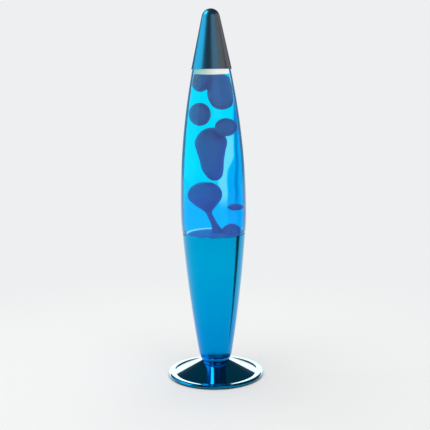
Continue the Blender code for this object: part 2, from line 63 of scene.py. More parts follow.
def length(name, description, default):
    """A size, in metres."""
    return FloatProperty(name=name, description=description, default=default, unit="LENGTH")


def degrees(name, description, default):
    """An angle, given in degrees."""
    default = math.radians(default)
    return FloatProperty(name=name, description=description, default=default, subtype="ANGLE")


def watts(name, description, default):
    """The power of a light."""
    return FloatProperty(name=name, description=description, default=default, unit="POWER")


def colour(name, description, default):
    """A colour, as linear red, green and blue."""
    return FloatVectorProperty(name=name, description=description, default=default, subtype="COLOR")


class LampSizes(bpy.types.PropertyGroup):
    """What a maker would change about the lamp's shapes."""

    facets: IntProperty(name="Facets", description="Steps round each turned piece", default=192, min=24)
    glass_wall: length("Glass wall", "Thickness of the bottle", 0.0025)
    sheet: length("Sheet metal", "Thickness of the base's spun metal", 0.001)
    cap_sheet: length("Cap metal", "Thickness of the cap", 0.0008)
    liquid_level: length("Liquid level", "Height of the liquid's surface", float(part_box("liquid")[1][2]))
    flutes: IntProperty(name="Flutes", description="Pinches round the crown closure", default=21, min=3)
    screw_pitch: length("Screw pitch", "Rise per turn of the bulb's thread", 0.00282)


class LampColours(bpy.types.PropertyGroup):
    """What a maker would change about the lamp's finishes."""

    base_metal: colour("Base metal, top", "Blue plated metal", (0.0, 0.43, 0.80))
    # Painted shade: the colour that the base's metal darkens to towards its foot.
    base_low_shade: colour("Base metal, bottom", "Its deeper blue towards the foot", (0.0, 0.30, 0.72))
    cap_metal: colour("Cap metal", "Dark plated metal", (0.10, 0.27, 0.42))
    liquid_high: colour("Liquid, top", "Lit liquid under its surface", (0.0, 0.74, 1.0))
    liquid_low: colour("Liquid, bottom", "Lit liquid above the settled wax", (0.0, 0.46, 1.0))
    wax: colour("Wax", "Melted wax", (0.066, 0.067, 0.195))
    glow: FloatProperty(name="Glow", description="Strength of the lit liquid", default=1.0, min=0.0)


class LampStudio(bpy.types.PropertyGroup):
    """Where the camera stands, and how strong each soft box is."""

    distance: length("Distance", "Camera's distance from the lamp", 0.95)
    height: length("Height", "Camera's height", 0.3331)
    tilt: degrees("Tilt", "How far it looks down", 8.887)
    turn: degrees("Turn", "How far it looks to the right", 0.093)
    roll: degrees("Roll", "How far it is tipped clockwise", 0.82)
    lens: FloatProperty(name="Lens", description="Focal length in millimetres", default=72.0, unit="CAMERA")
    key: watts("Key light", "The cyan box on the left", 9.4)
    back: watts("Back light", "The wide box behind, on the foot", 25.0)
    front: watts("Front light", "The high front box, on the base", 17.0)
    tip: watts("Tip light", "The small box over the cap", 7.0)
    warm: watts("Warm light", "The dim warm box, on the cap", 7.8)
    fill: watts("Fill light", "The dim box on the front right", 3.2)
    wash: watts("Floor wash", "The broad box over the floor", 139.0)


# ---- shader sums ---------------------------------------------------------------------------


class Wire:
    """A shader socket. Sums on it add Math nodes to its material."""

    def __init__(self, paint, socket):
        self.paint, self.socket = paint, socket

    def sum_with(self, operation, first, second):
        return self.paint.node("ShaderNodeMath", {"operation": operation}, {0: first, 1: second})

    def __add__(self, other):
        return self.sum_with("ADD", self, other)

    __radd__ = __add__

    def __mul__(self, other):
        return self.sum_with("MULTIPLY", self, other)

    __rmul__ = __mul__

    def __sub__(self, other):
        return self.sum_with("SUBTRACT", self, other)

    def __rsub__(self, other):
        return self.sum_with("SUBTRACT", other, self)

    def __pow__(self, other):
        return self.sum_with("POWER", self, other)


class Paint:
    """A material, or the world's air, being mixed."""

    def __init__(self, name, store="materials", output="ShaderNodeOutputMaterial"):
        self.made = getattr(bpy.data, store).new(name)
        self.made.use_nodes = True
        self.tree = self.made.node_tree
        self.tree.nodes.clear()
        self.output = self.tree.nodes.new(output)
        self.place = self.node("ShaderNodeTexCoord", out="Object")

    def node(self, kind, settings=None, inputs=None, out=0):
        """Add a node: its settings first, then its sockets' values or links. Returns one output."""
        made = self.tree.nodes.new(kind)
        for key, value in (settings or {}).items():
            setattr(made, key, value)
        for key, value in (inputs or {}).items():
            if isinstance(value, Wire):
                self.tree.links.new(value.socket, made.inputs[key])
            else:
                made.inputs[key].default_value = value
        return Wire(self, made.outputs[out])

    def axis(self, which, vector=None):
        """The X, Y or Z part of a place."""
        return self.node("ShaderNodeSeparateXYZ", inputs={0: vector or self.place}, out=which)

    def ramp(self, value, low, high):
        """0 below low, 1 above high and smooth between."""
        return self.node(
            "ShaderNodeMapRange",
            {"interpolation_type": "SMOOTHSTEP"},
            {"Value": value, "From Min": low, "From Max": high},
        )

    def band(self, value, low, low_full, high_full, high):
        """1 between low_full and high_full, and 0 outside low and high."""
        return self.ramp(value, low, low_full) * (1.0 - self.ramp(value, high_full, high))

    def edge_on(self, blend=0.5):
        """0 where the surface faces the eye, and 1 where it is seen edge on."""
        return self.node("ShaderNodeLayerWeight", inputs={"Blend": blend}, out="Facing")

    def stretched(self, across, along):
        """The place, scaled by across on X and Y and by along on Z."""
        return self.node(
            "ShaderNodeMapping", inputs={"Vector": self.place, "Scale": (across, across, along)}
        )

    def noise(self, scale, detail=3.0, rough=0.5, vector=None):
        return self.node(
            "ShaderNodeTexNoise",
            inputs={"Vector": vector or self.place, "Scale": scale, "Detail": detail, "Roughness": rough},
        )

    def mix(self, share, low, high):
        """A colour between low and high."""
        return self.node(
            "ShaderNodeMix", {"data_type": "RGBA"}, {"Factor": share, 6: flat(low), 7: flat(high)}, 2
        )

    def bump(self, height, strength, distance=0.0002):
        return self.node(
            "ShaderNodeBump", inputs={"Strength": strength, "Distance": distance, "Height": height}
        )

    def principled(self, **inputs):
        """A Principled shader. Socket names are given with _ for their spaces."""
        named = {key.replace("_", " "): flat(value) for key, value in inputs.items()}
        return self.node("ShaderNodeBsdfPrincipled", inputs=named)

    def emission(self, colour, strength):
        return self.node("ShaderNodeEmission", inputs={"Color": flat(colour), "Strength": strength})

    def clear(self, colour=(1.0, 1.0, 1.0)):
        return self.node("ShaderNodeBsdfTransparent", inputs={"Color": flat(colour)})

    def layered(self, share, under, over):
        """One shader over another."""
        return self.node("ShaderNodeMixShader", inputs={0: share, 1: under, 2: over})

    def done(self, shader):
        self.tree.links.new(shader.socket, self.output.inputs["Surface"])
        return self.made


def flat(value):
    """A three-number colour with its fourth, and anything else as it is."""
    if isinstance(value, Wire) or not hasattr(value, "__len__") or len(value) != 3:
        return value
    return (*value, 1.0)


# ---- finishes ------------------------------------------------------------------------------


def plated_metal(name, colour, rough, coat=0.0, sheen=0.0, deeper=None):
    """Spun and plated metal under a clear lacquer: faint turned lines, wiped patches and specks.
    Its sheen pales where it is seen edge on. It may darken into a deeper colour towards its foot: painted
    shade."""
    paint = Paint(name)
    lines = paint.noise(1.0, 4.0, 0.7, paint.stretched(across=6.0, along=2600.0))
    patches = paint.noise(26.0, 3.0, 0.55)
    specks = paint.ramp(paint.noise(900.0, 1.0), 0.70, 0.78)
    tint = paint.mix(patches, tuple(c * 0.82 for c in colour), colour)
    # Painted shade: the colour darkens into deeper below 0.15 m, fully so below 0.02 m.
    if deeper:
        tint = paint.mix(paint.ramp(paint.axis("Z"), 0.02, 0.15), deeper, tint)
    if sheen:
        tint = paint.mix(paint.ramp(paint.edge_on(), 0.50, 0.74) * sheen, tint, (0.70, 0.94, 1.0))
    return paint.done(paint.principled(
        Base_Color=tint,
        Metallic=1.0,
        Roughness=rough + 0.06 * (patches - 0.5) + 0.05 * (lines - 0.5) + 0.12 * specks,
        Coat_Weight=coat,
        Coat_Roughness=0.04,
        Normal=paint.bump(lines + 0.3 * patches, 0.05, 0.0001),
    ))


def bare_metal(name, colour, rough, grain=0.25, scale=900.0):
    """Unlacquered metal with a fine grain, dulled in patches."""
    paint = Paint(name)
    grain_map = paint.noise(1.0, 4.0, 0.6, paint.stretched(scale, scale))
    patches = paint.noise(120.0)
    return paint.done(paint.principled(
        Base_Color=paint.mix(paint.ramp(patches, 0.3, 0.75), colour, tuple(c * 0.6 for c in colour)),
        Metallic=1.0,
        Roughness=rough + 0.15 * (patches - 0.4),
        Normal=paint.bump(grain_map, grain, 0.00005),
    ))


def moulded(name, colour, rough, coat=0.0, speckle=0.1, depth=0.15):
    """Moulded, pressed or glazed matter: its colour with a little speckle and a fine skin."""
    paint = Paint(name)
    grain, cloud = paint.noise(1500.0, 2.0), paint.noise(60.0)
    pale = tuple(min(1.0, c * (1.0 + speckle) + 0.01 * speckle) for c in colour)
    return paint.done(paint.principled(
        Base_Color=paint.mix(cloud, tuple(c * (1.0 - speckle) for c in colour), pale),
        Roughness=rough + 0.1 * (cloud - 0.5) + 0.06 * (grain - 0.5),
        Coat_Weight=coat,
        Coat_Roughness=0.08,
        Normal=paint.bump(grain, depth, 0.00006),
    ))


def bottle_outside():
    """Clear glass: it mirrors by its angle. Towards its edges it turns into a painted glow of the liquid's
    blue, paler where it is seen most edge on.
    """
    paint = Paint("bottle_glass_clear")
    edge_on = paint.edge_on()
    # Painted light: the edges glow blue, paler where the glass is seen most edge on.
    lit = paint.mix(paint.ramp(edge_on, 0.70, 0.92), (0.01, 0.12, 0.28), (0.10, 0.36, 0.62))
    edge = paint.principled(
        Base_Color=(0.01, 0.05, 0.09), Roughness=0.3, Emission_Color=lit, Emission_Strength=1.0
    )
    body = paint.layered(paint.ramp(edge_on, 0.54, 0.66) * 0.92, paint.clear((0.985, 0.995, 1.0)), edge)
    wiped = 0.02 + 0.04 * paint.noise(40.0)
    gloss = paint.principled(Base_Color=(0.55, 0.88, 1.0), Metallic=1.0, Roughness=wiped)
    mirror = paint.node("ShaderNodeFresnel", inputs={"IOR": 1.45})
    return paint.done(paint.layered(mirror * 0.6, body, gloss))


def bottle_inside(level, edge):
    """The bottle's bore: clear, but for the lit ring between the liquid's surface and the cap. Its
    lower edge follows the liquid's curved brim, level - sag + bow x^2."""
    paint = Paint("bottle_bore")
    height, x = paint.axis("Z"), paint.axis("X")
    sag, bow = 0.0016, 2.8
    brim = height - bow * x**2.0
    dry = paint.ramp(brim, level - sag - 0.0004, level - sag + 0.0006)
    dry = dry * (1.0 - paint.ramp(height, edge, edge + 0.001))
    beads = paint.ramp(paint.noise(700.0, 2.0), 0.60, 0.72)
    tint = paint.mix(paint.ramp(x, -0.024, 0.012), (0.16, 0.46, 0.36), (1.0, 0.98, 0.92))
    ring = paint.principled(
        Base_Color=(0.12, 0.13, 0.13), Roughness=0.25 + 0.3 * beads, Emission_Color=tint,
        Emission_Strength=0.85,
    )
    return paint.done(paint.layered(dry, paint.clear(), ring))


def liquid_glow(colours, low):
    """The far side of the lit liquid. It shows only from inside, so the wax stands out before it.
    It pales and deepens in soft uneven bands, as light does through a round bottle."""
    paint = Paint("liquid_glow")
    z = paint.axis("Z")
    x = paint.axis("X") + 0.006 * (paint.noise(26.0, 2.0) - 0.5)
    bent = x - 0.0065 * paint.ramp(z, 0.228, 0.252)
    # Painted light and shade in the glow: a pale patch right of the middle, a deeper blue further right, a
    # dark upright band of shade near the right edge, and on the left a pale highlight line just above the
    # settled wax.
    pale = paint.band(bent, 0.005, 0.009, 0.0150, 0.0172) * paint.band(z, 0.185, 0.205, 0.262, 0.285)
    deep = paint.ramp(bent, 0.0155, 0.0185)
    dark = paint.band(x, 0.0235, 0.0250, 0.0268, 0.0288) * paint.ramp(z, 0.18, 0.205)
    brim = (1.0 - paint.ramp(z, low + 0.0020, low + 0.0028)) * (1.0 - paint.ramp(x, 0.0, 0.003))
    tint = paint.mix(paint.ramp(z, low + 0.022, low + 0.075), colours.liquid_low, colours.liquid_high)
    for share, band_colour in (
        (pale * 0.85, (0.17, 0.76, 0.96)), (deep * 0.8, (0.0, 0.36, 0.95)),
        (dark * 0.7, (0.0, 0.15, 0.52)), (brim * 0.8, (0.25, 0.78, 1.0)),
    ):
        tint = paint.mix(share, tint, band_colour)
    glow = paint.principled(
        Base_Color=(0.0, 0.02, 0.04), Roughness=0.9, Specular_IOR_Level=0.0,
        Emission_Color=tint, Emission_Strength=colours.glow,
    )
    back = paint.node("ShaderNodeNewGeometry", out="Backfacing")
    material = paint.done(paint.layered(back, glow, paint.clear()))
    material.use_backface_culling = True
    return material


def liquid_skin(colours):
    """The near side of the liquid: clear, with a thin veil of its own light."""
    paint = Paint("liquid_skin")
    veil = paint.emission((0.0, 0.42, 0.90), colours.glow)
    return paint.done(paint.layered(0.05, paint.clear((0.96, 0.99, 1.0)), veil))


def wax_matter(colours):
    """Melted wax: soft and glossy, in swirls of paler tone. It has a painted glow: dim indigo low down, dark
    brown higher up, and the liquid's blue at its edges.
    """
    paint = Paint("melted_wax")
    swirl = paint.noise(38.0, 2.0)
    pale = tuple(min(1.0, c * 1.3 + 0.01) for c in colours.wax)
    # Painted glow: indigo below 0.18 m, turning dark brown by 0.33 m, and blue painted light where the wax
    # is seen edge on.
    painted_core_glow = paint.mix(paint.ramp(paint.axis("Z"), 0.18, 0.33), (0.030, 0.026, 0.14), (0.052, 0.022, 0.035))
    edge_light = paint.ramp(paint.edge_on(0.35), 0.45, 0.95) * 0.5
    return paint.done(paint.principled(
        Base_Color=paint.mix(paint.ramp(swirl, 0.3, 0.75), colours.wax, pale),
        Roughness=0.42 + 0.1 * (swirl - 0.5),
        Emission_Color=paint.mix(edge_light, painted_core_glow, (0.0, 0.12, 0.45)),
        Emission_Strength=0.9,
        Normal=paint.bump(swirl, 0.04, 0.0006),
    ))


def bulb_envelope(low, high):
    """A reflector bulb: silvered up to its widest, and frosted and lit above."""
    paint = Paint("bulb_envelope")
    front = paint.ramp(paint.axis("Z"), low, high)
    streaked = 0.14 + 0.1 * paint.noise(90.0)
    silver = paint.principled(Base_Color=(0.75, 0.76, 0.78), Metallic=1.0, Roughness=streaked)
    frost = paint.principled(
        Base_Color=(0.92, 0.9, 0.85), Roughness=0.5, Emission_Color=(1.0, 0.86, 0.62),
        Emission_Strength=1.5, Normal=paint.bump(paint.noise(2500.0, 2.0), 0.2, 0.00005),
    )
    return paint.done(paint.layered(front, silver, frost))


def flag_finish():
    """Black felt."""
    paint = Paint("black_felt")
    fluff = paint.mix(paint.noise(400.0, 2.0), (0.01, 0.01, 0.01), (0.03, 0.03, 0.03))
    return paint.done(paint.principled(Base_Color=fluff, Roughness=0.95))


def floor_finish(centre_r, edge_r):
    """A pale board that fades out for the camera, and stays whole in the lamp's polish. It isn't
    seen from below."""
    paint = Paint("studio_floor")
    across = paint.axis("X") ** 2.0 + paint.axis("Y") ** 2.0
    seen = paint.node("ShaderNodeLightPath", out="Is Camera Ray")
    whole = 1.0 - paint.ramp(across ** 0.5, centre_r, edge_r) * seen
    outside = 1.0 - paint.node("ShaderNodeNewGeometry", out="Backfacing")
    above = paint.ramp(paint.axis("Z", paint.node("ShaderNodeNewGeometry", out="Normal")), -0.1, 0.1)
    board = paint.principled(Base_Color=(0.80, 0.80, 0.79), Roughness=0.6)
    return paint.done(paint.layered(whole * outside * above, paint.clear(), board))


# ---- shapes --------------------------------------------------------------------------------


def rounded(points, radius, arc=5):
    """Soften an outline's corners. Corner c becomes (1-t)^2 a + 2t(1-t) c + t^2 b, where a and b
    lie on its two sides, radius away or 0.45 of the side if that is less."""
    points = np.asarray(points, float)
    corner = points[1:-1, None, :]
    sides = (points[:-2] - points[1:-1], points[2:] - points[1:-1])
    lengths = [np.linalg.norm(side, axis=1, keepdims=True) for side in sides]
    ends = [
        corner + (side * np.minimum(radius / length, 0.45))[:, None, :]
        for side, length in zip(sides, lengths)
    ]
    t = np.linspace(0.0, 1.0, arc)[None, :, None]
    bend = (1 - t) ** 2 * ends[0] + 2 * t * (1 - t) * corner + t**2 * ends[1]
    return np.vstack([points[:1], bend.reshape(-1, points.shape[1]), points[-1:]])


def splined(stations, rows, even=True):
    """Smooth rows through stations: cubic Hermite runs whose slopes are centred differences.
    Rows crowd towards both ends, as 1 - cos does, unless they are even."""
    stations = np.asarray(stations, float)
    slopes = np.gradient(stations, axis=0)
    share = np.linspace(0.0, 1.0, rows)
    share = share if even else (1.0 - np.cos(np.pi * share)) / 2.0
    at = share * (len(stations) - 1)
    low = np.minimum(at.astype(int), len(stations) - 2)
    t = (at - low)[:, None]
    here, there = stations[low], stations[low + 1]
    leave, arrive = slopes[low], slopes[low + 1]
    return (
        (2 * t**3 - 3 * t**2 + 1) * here + (t**3 - 2 * t**2 + t) * leave
        + (3 * t**2 - 2 * t**3) * there + (t**3 - t**2) * arrive
    )


def fitted(node, points):
    """An outline of (radius, height) in millimetres, stretched onto a CAD node's box."""
    low, high = (corner / MM for corner in map(np.array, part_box(node)))
    radius, height = np.asarray(points, float).T
    reach = (high[0] - low[0]) / 2.0
    rise = (height - height.min()) / np.ptp(height)
    return np.stack([radius * reach / radius.max(), low[2] + rise * (high[2] - low[2])], axis=1)


def around(outline, facets, wave=None):
    """Turn an outline about Z: x = r cos a, y = r sin a, z = z. wave(r, z, a) may change r."""
    angle = np.arange(facets)[None, :] * TAU / facets
    r = np.repeat(outline[:, :1], facets, axis=1)
    z = np.repeat(outline[:, 1:2], facets, axis=1)
    if wave:
        r = wave(r, z, angle)
    return np.stack([r * np.cos(angle), r * np.sin(angle), z], axis=-1)


def carried(path, radius, sides):
    """A round bar along a path: rings of p + r (n cos a + b sin a), across its tangent, with b kept
    as near upright as the tangent lets it. Its ends close on half balls."""
    way = np.gradient(path, axis=0)
    way /= np.linalg.norm(way, axis=1, keepdims=True)
    across = np.cross(way, (0.0, 0.0, 1.0))
    across /= np.linalg.norm(across, axis=1, keepdims=True)
    rising = np.cross(across, way)
    lean = np.linspace(0.0, np.pi / 2.0, 5)
    path = np.vstack([
        path[:1] - radius * np.cos(lean)[:, None] * way[:1], path[1:-1],
        path[-1:] + radius * np.sin(lean)[:, None] * way[-1:],
    ])
    thick = np.concatenate([radius * np.sin(lean), np.full(len(way) - 2, radius), radius * np.cos(lean)])
    times = np.ones(len(way), int)
    times[[0, -1]] = len(lean)
    across, rising = (np.repeat(side, times, axis=0)[:, None, :] for side in (across, rising))
    angle = (np.arange(sides) * TAU / sides)[None, :, None]
    return path[:, None, :] + thick[:, None, None] * (across * np.cos(angle) + rising * np.sin(angle))


def lofted(sections, rows, facets, wobble=0.015):
    """A blob through flat ellipses (x, y, z, half width, half depth). The squares of the widths are
    splined, so both ends come out round. wobble pulls the wall in, most at every other quarter."""
    sections = np.array(sections, float)
    sections[:, 3:] **= 2
    x, y, z, wide, deep = splined(sections, rows, even=False).T
    wide, deep = np.sqrt(np.maximum(wide, 0.0)), np.sqrt(np.maximum(deep, 0.0))
    angle = np.arange(facets)[None, :] * TAU / facets
    pull = 1.0 - wobble * (1.0 + np.sin(2.0 * angle + z[:, None] / 9.0)) / 2.0
    across = x[:, None] + wide[:, None] * pull * np.cos(angle)
    along = y[:, None] + deep[:, None] * pull * np.sin(angle)
    return np.stack([across, along, np.repeat(z[:, None], facets, axis=1)], axis=-1) * MM


def prism(x, y, low, high):
    """A closed block on four corners, as a grid of four-sided rings. Both ends close on the point
    half way between opposite sides."""
    middle = np.full(4, (x[0] + x[1]) / 2.0), np.full(4, (y[1] + y[2]) / 2.0)
    rings = [(*middle, low), (x, y, low), (x, y, high), (*middle, high)]
    return np.stack([np.stack([a, b, np.full(4, z)], axis=-1) for a, b, z in rings])


def skin(name, grid, *finishes, loop=False, finish_rows=None, sharp=38.0, place=(0.0, 0.0, 0.0)):
    """Join a grid of points, (rows, columns, 3), into a closed mesh of quads. Columns wrap round, and
    rows do if it is a loop. finish_rows picks a finish for each strip of faces, and edges sharper
    than sharp, in degrees, stay crisp."""
    rows, columns = grid.shape[:2]
    index = np.arange(rows * columns).reshape(rows, columns)
    beside = np.roll(index, -1, axis=1)
    corners = np.stack([index, beside, np.roll(beside, -1, axis=0), np.roll(index, -1, axis=0)], axis=-1)
    corners = corners if loop else corners[:-1]
    picks = np.zeros(len(corners), int) if finish_rows is None else finish_rows[: len(corners)]
    mesh = bpy.data.meshes.new(name)
    points = (grid + np.array(place)).reshape(-1, 3)
    mesh.from_pydata(points.tolist(), [], corners.reshape(-1, 4).tolist())
    mesh.polygons.foreach_set("material_index", np.repeat(picks, columns).astype(np.int32))
    tidy_up(mesh)
    mesh.shade_smooth()
    mesh.set_sharp_from_angle(angle=math.radians(sharp))
    for finish in finishes:
        mesh.materials.append(bpy.data.materials[finish])
    piece = bpy.data.objects.new(name, mesh)
    bpy.context.scene.collection.objects.link(piece)
    return piece


def tidy_up(mesh):
    """Merge the points that meet at seams and poles, then face everything outwards."""
    bm = bmesh.new()
    bm.from_mesh(mesh)
    bmesh.ops.remove_doubles(bm, verts=bm.verts, dist=1e-6)
    bmesh.ops.dissolve_degenerate(bm, edges=bm.edges, dist=1e-7)
    bmesh.ops.recalc_face_normals(bm, faces=bm.faces)
    bm.to_mesh(mesh)
    bm.free()


def apply_all(piece):
    """Turn a piece's modifiers into its mesh."""
    graph = bpy.context.evaluated_depsgraph_get()
    made = bpy.data.meshes.new_from_object(piece.evaluated_get(graph))
    piece.modifiers.clear()
    piece.data = made
    return piece


def spun(name, outline, *finishes, corner=0.0, arc=5, facets=None, wave=None, **more):
    """Soften the corners of an outline of (radius, height) in millimetres, turn it and skin it."""
    outline = rounded(outline, corner, arc) if corner else np.asarray(outline, float)
    return skin(name, around(outline, facets or sizes().facets, wave) * MM, *finishes, **more)


def turned(node, outline, finish, body, slot, facets=None, corner=0.25):
    """A plain turned piece on its own upright axis, which stands for one CAD node."""
    low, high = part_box(node)
    place = (0.0, 0.0, 0.0)
    if node.startswith(OFF_AXIS):
        place = ((low[0] + high[0]) / 2.0, (low[1] + high[1]) / 2.0, 0.0)
    on_pole = outline[0][0] == outline[-1][0] == 0.0
    profile = fitted(node, outline if on_pole else [*outline, outline[0]])
    piece = spun(f"{node}_turned", profile, finish, corner=corner, facets=facets, place=place)
    return settle(piece, body, slot, node)


def melted_together(pieces, finish, voxel, passes):
    """Run closed pieces together: remeshed into one skin of small cubes, then smoothed."""
    bm = bmesh.new()
    for piece in pieces:
        bm.from_mesh(piece.data)
    whole = pieces[0]
    bm.to_mesh(whole.data)
    bm.free()
    for piece in pieces[1:]:
        bpy.data.objects.remove(piece)
    remesh = whole.modifiers.new("run_together", "REMESH")
    remesh.mode, remesh.voxel_size = "VOXEL", voxel
    smooth = whole.modifiers.new("soften", "SMOOTH")
    smooth.factor, smooth.iterations = 0.6, passes
    apply_all(whole)
    whole.data.materials.clear()
    whole.data.materials.append(bpy.data.materials[finish])
    whole.data.shade_smooth()
    return whole


def settle(piece, body, slot, *nodes):
    """Give a piece its body, and hide the CAD nodes that it stands for. Its slot is not used."""
    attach(piece, body)
    if nodes:
        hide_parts(*nodes)
    return piece


def sizes():
    return bpy.context.scene.lamp_sizes


def heights(node):
    """The lowest and highest point of a CAD node, in millimetres."""
    return tuple(corner[2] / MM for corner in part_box(node))


def half_width(node):
    """The radius of a CAD node that is turned about Z, in millimetres."""
    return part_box(node)[1][0] / MM


# ---- the lamp's outlines, in millimetres ---------------------------------------------------

OFF_AXIS = ("rubber_foot_", "terminal_screw_")  # nodes that don't stand on the lamp's axis
BASE_LOW, BASE_TOP = heights("base_cone")
BASE_LOW_R, BASE_TOP_R = 18.2, half_width("base_cone")
BASE_BULGE = 1.5
BASE_HOLE_R = 5.3
BOTTLE_LOW, BOTTLE_HIGH = heights("bottle_glass")
BOTTLE_R = half_width("bottle_glass")
BOTTLE_WIDEST_Z = 188.0
BOTTLE_ARC = 800.0
RIM_Z = BASE_TOP + 3.3  # the cone's rolled rim stands a little above the CAD's
SHOULDER_R, SHOULDER_Z = 35.3, RIM_Z + 0.4
BORE_LOW_Z, BORE_HIGH_Z = SHOULDER_Z - 1.5, 174.0
SEAT_CLEARANCE = 0.6
CAP_LOW, CAP_HIGH = heights("cap")
CAP_R = half_width("cap")
CAP_TIP_R = 10.0
CAP_SLOPE = 0.2136  # radius lost per millimetre of height
POOL_WALL_Z = 162.5  # where the settled wax meets the bore


def base_radius(z):
    """The upper cone's outside: a straight taper plus a shallow bulge, 4 b t (1 - t)."""
    t = (z - BASE_LOW) / (BASE_TOP - BASE_LOW)
    return BASE_LOW_R + (BASE_TOP_R - BASE_LOW_R) * t + 4.0 * BASE_BULGE * t * (1.0 - t)


def bottle_radius(z):
    """The bottle's outside: a long arc above its widest, and a short parabola below it."""
    z = np.asarray(z, float)
    drop = (BOTTLE_WIDEST_Z - z) / (BOTTLE_WIDEST_Z - SHOULDER_Z)
    below = BOTTLE_R - (BOTTLE_R - SHOULDER_R) * drop**2
    above = BOTTLE_R - BOTTLE_ARC + np.sqrt(BOTTLE_ARC**2 - (z - BOTTLE_WIDEST_Z) ** 2)
    return np.where(z < BOTTLE_WIDEST_Z, below, above)


def seat_radius(z):
    """The outside of the bottle's lower end, which drops into the base."""
    return base_radius(z) - sizes().sheet / MM - SEAT_CLEARANCE


def bore_radius(z):
    """The inside of the bottle, with a straight run across its shoulder."""
    z, wall = np.asarray(z, float), sizes().glass_wall / MM
    low_r, high_r = seat_radius(BORE_LOW_Z) - wall, bottle_radius(BORE_HIGH_Z) - wall
    share = (z - BORE_LOW_Z) / (BORE_HIGH_Z - BORE_LOW_Z)
    run = low_r + (high_r - low_r) * share
    return np.where(
        z >= BORE_HIGH_Z, bottle_radius(z) - wall, np.where(z <= BORE_LOW_Z, seat_radius(z) - wall, run)
    )


def cap_radius(z):
    """The cap's outside: a straight cone that runs into a ball."""
    lean = math.atan(CAP_SLOPE)
    middle = CAP_HIGH - CAP_TIP_R
    joint, joint_r = middle + CAP_TIP_R * math.sin(lean), CAP_TIP_R * math.cos(lean)
    cone = CAP_R + (joint_r - CAP_R) * (z - CAP_LOW) / (joint - CAP_LOW)
    ball = np.sqrt(np.maximum(CAP_TIP_R**2 - (z - middle) ** 2, 0.0))
    return np.where(z > joint, ball, cone)


def run(shape, low, high, rows):
    """Points (radius, height) of a curve between two heights."""
    z = np.linspace(low, high, rows)
    return np.stack([shape(z), z], axis=1)

def straight(radius, z):
    """Points (radius, height) of an upright wall."""
    return np.stack([np.full_like(z, radius), z], axis=1)


def within(z, low, high, fade):
    """1 between two heights, and down to 0 over fade at both: the least of its two straight ramps."""
    return np.clip(np.minimum(z - low, high - z) / fade, 0.0, 1.0)


def thread(z, angle, pitch):
    """A right-handed thread's wave: cos(a - 2 pi z / pitch)."""
    return np.cos(angle - TAU * z / pitch)


# ---- operators -----------------------------------------------------------------------------


class LAMP_OT_finishes(bpy.types.Operator):
    """Mix every finish, and give the CAD nodes that stay on show theirs"""

    bl_idname = "lamp.finishes"
    bl_label = "Finishes"

    def execute(self, context):
        paints = context.scene.lamp_colours
        base_metal = tuple(paints.base_metal)
        plated_metal("base_plating", base_metal, 0.16, deeper=tuple(paints.base_low_shade))
        plated_metal("foot_plating", tuple(c * 0.70 for c in base_metal), 0.05, sheen=0.85)
        plated_metal("cap_plating", tuple(paints.cap_metal), 0.31, coat=0.03)
        bottle_outside()
        bottle_inside(sizes().liquid_level, CAP_LOW * MM)
        liquid_glow(paints, POOL_WALL_Z * MM)
        liquid_skin(paints)
        wax_matter(paints)
        bare_metal("brushed_brass", (0.78, 0.55, 0.22), 0.28)
        bare_metal("zinc_steel", (0.60, 0.61, 0.64), 0.30)
        bare_metal("coil_steel", (0.50, 0.51, 0.54), 0.35, 0.1, 200.0)
        bare_metal("gold_lacquered_tin", (0.74, 0.62, 0.30), 0.30, 0.1)
        moulded("glazed_ceramic", (0.86, 0.85, 0.80), 0.25, coat=0.7, speckle=0.03, depth=0.05)
        moulded("black_glass_insulator", (0.02, 0.02, 0.025), 0.2, coat=0.3)
        moulded("soft_rubber", (0.022, 0.022, 0.024), 0.72, speckle=0.25, depth=0.4)
        moulded("pressed_board", (0.045, 0.042, 0.04), 0.85, speckle=0.45, depth=0.6)
        moulded("liner_compound", (0.60, 0.60, 0.56), 0.6)
        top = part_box("bulb_glass")[1][2]
        bulb_envelope(top - 0.0145, top - 0.0125)
        for node, finish in (
            ("bottom_cover", "pressed_board"), ("bulb_stem", "glazed_ceramic"),
            ("lead_wire_1", "zinc_steel"), ("lead_wire_2", "zinc_steel"), ("filament", "zinc_steel"),
        ):
            for slot in bpy.data.objects[node].material_slots:
                slot.material = bpy.data.materials[finish]
        return {"FINISHED"}


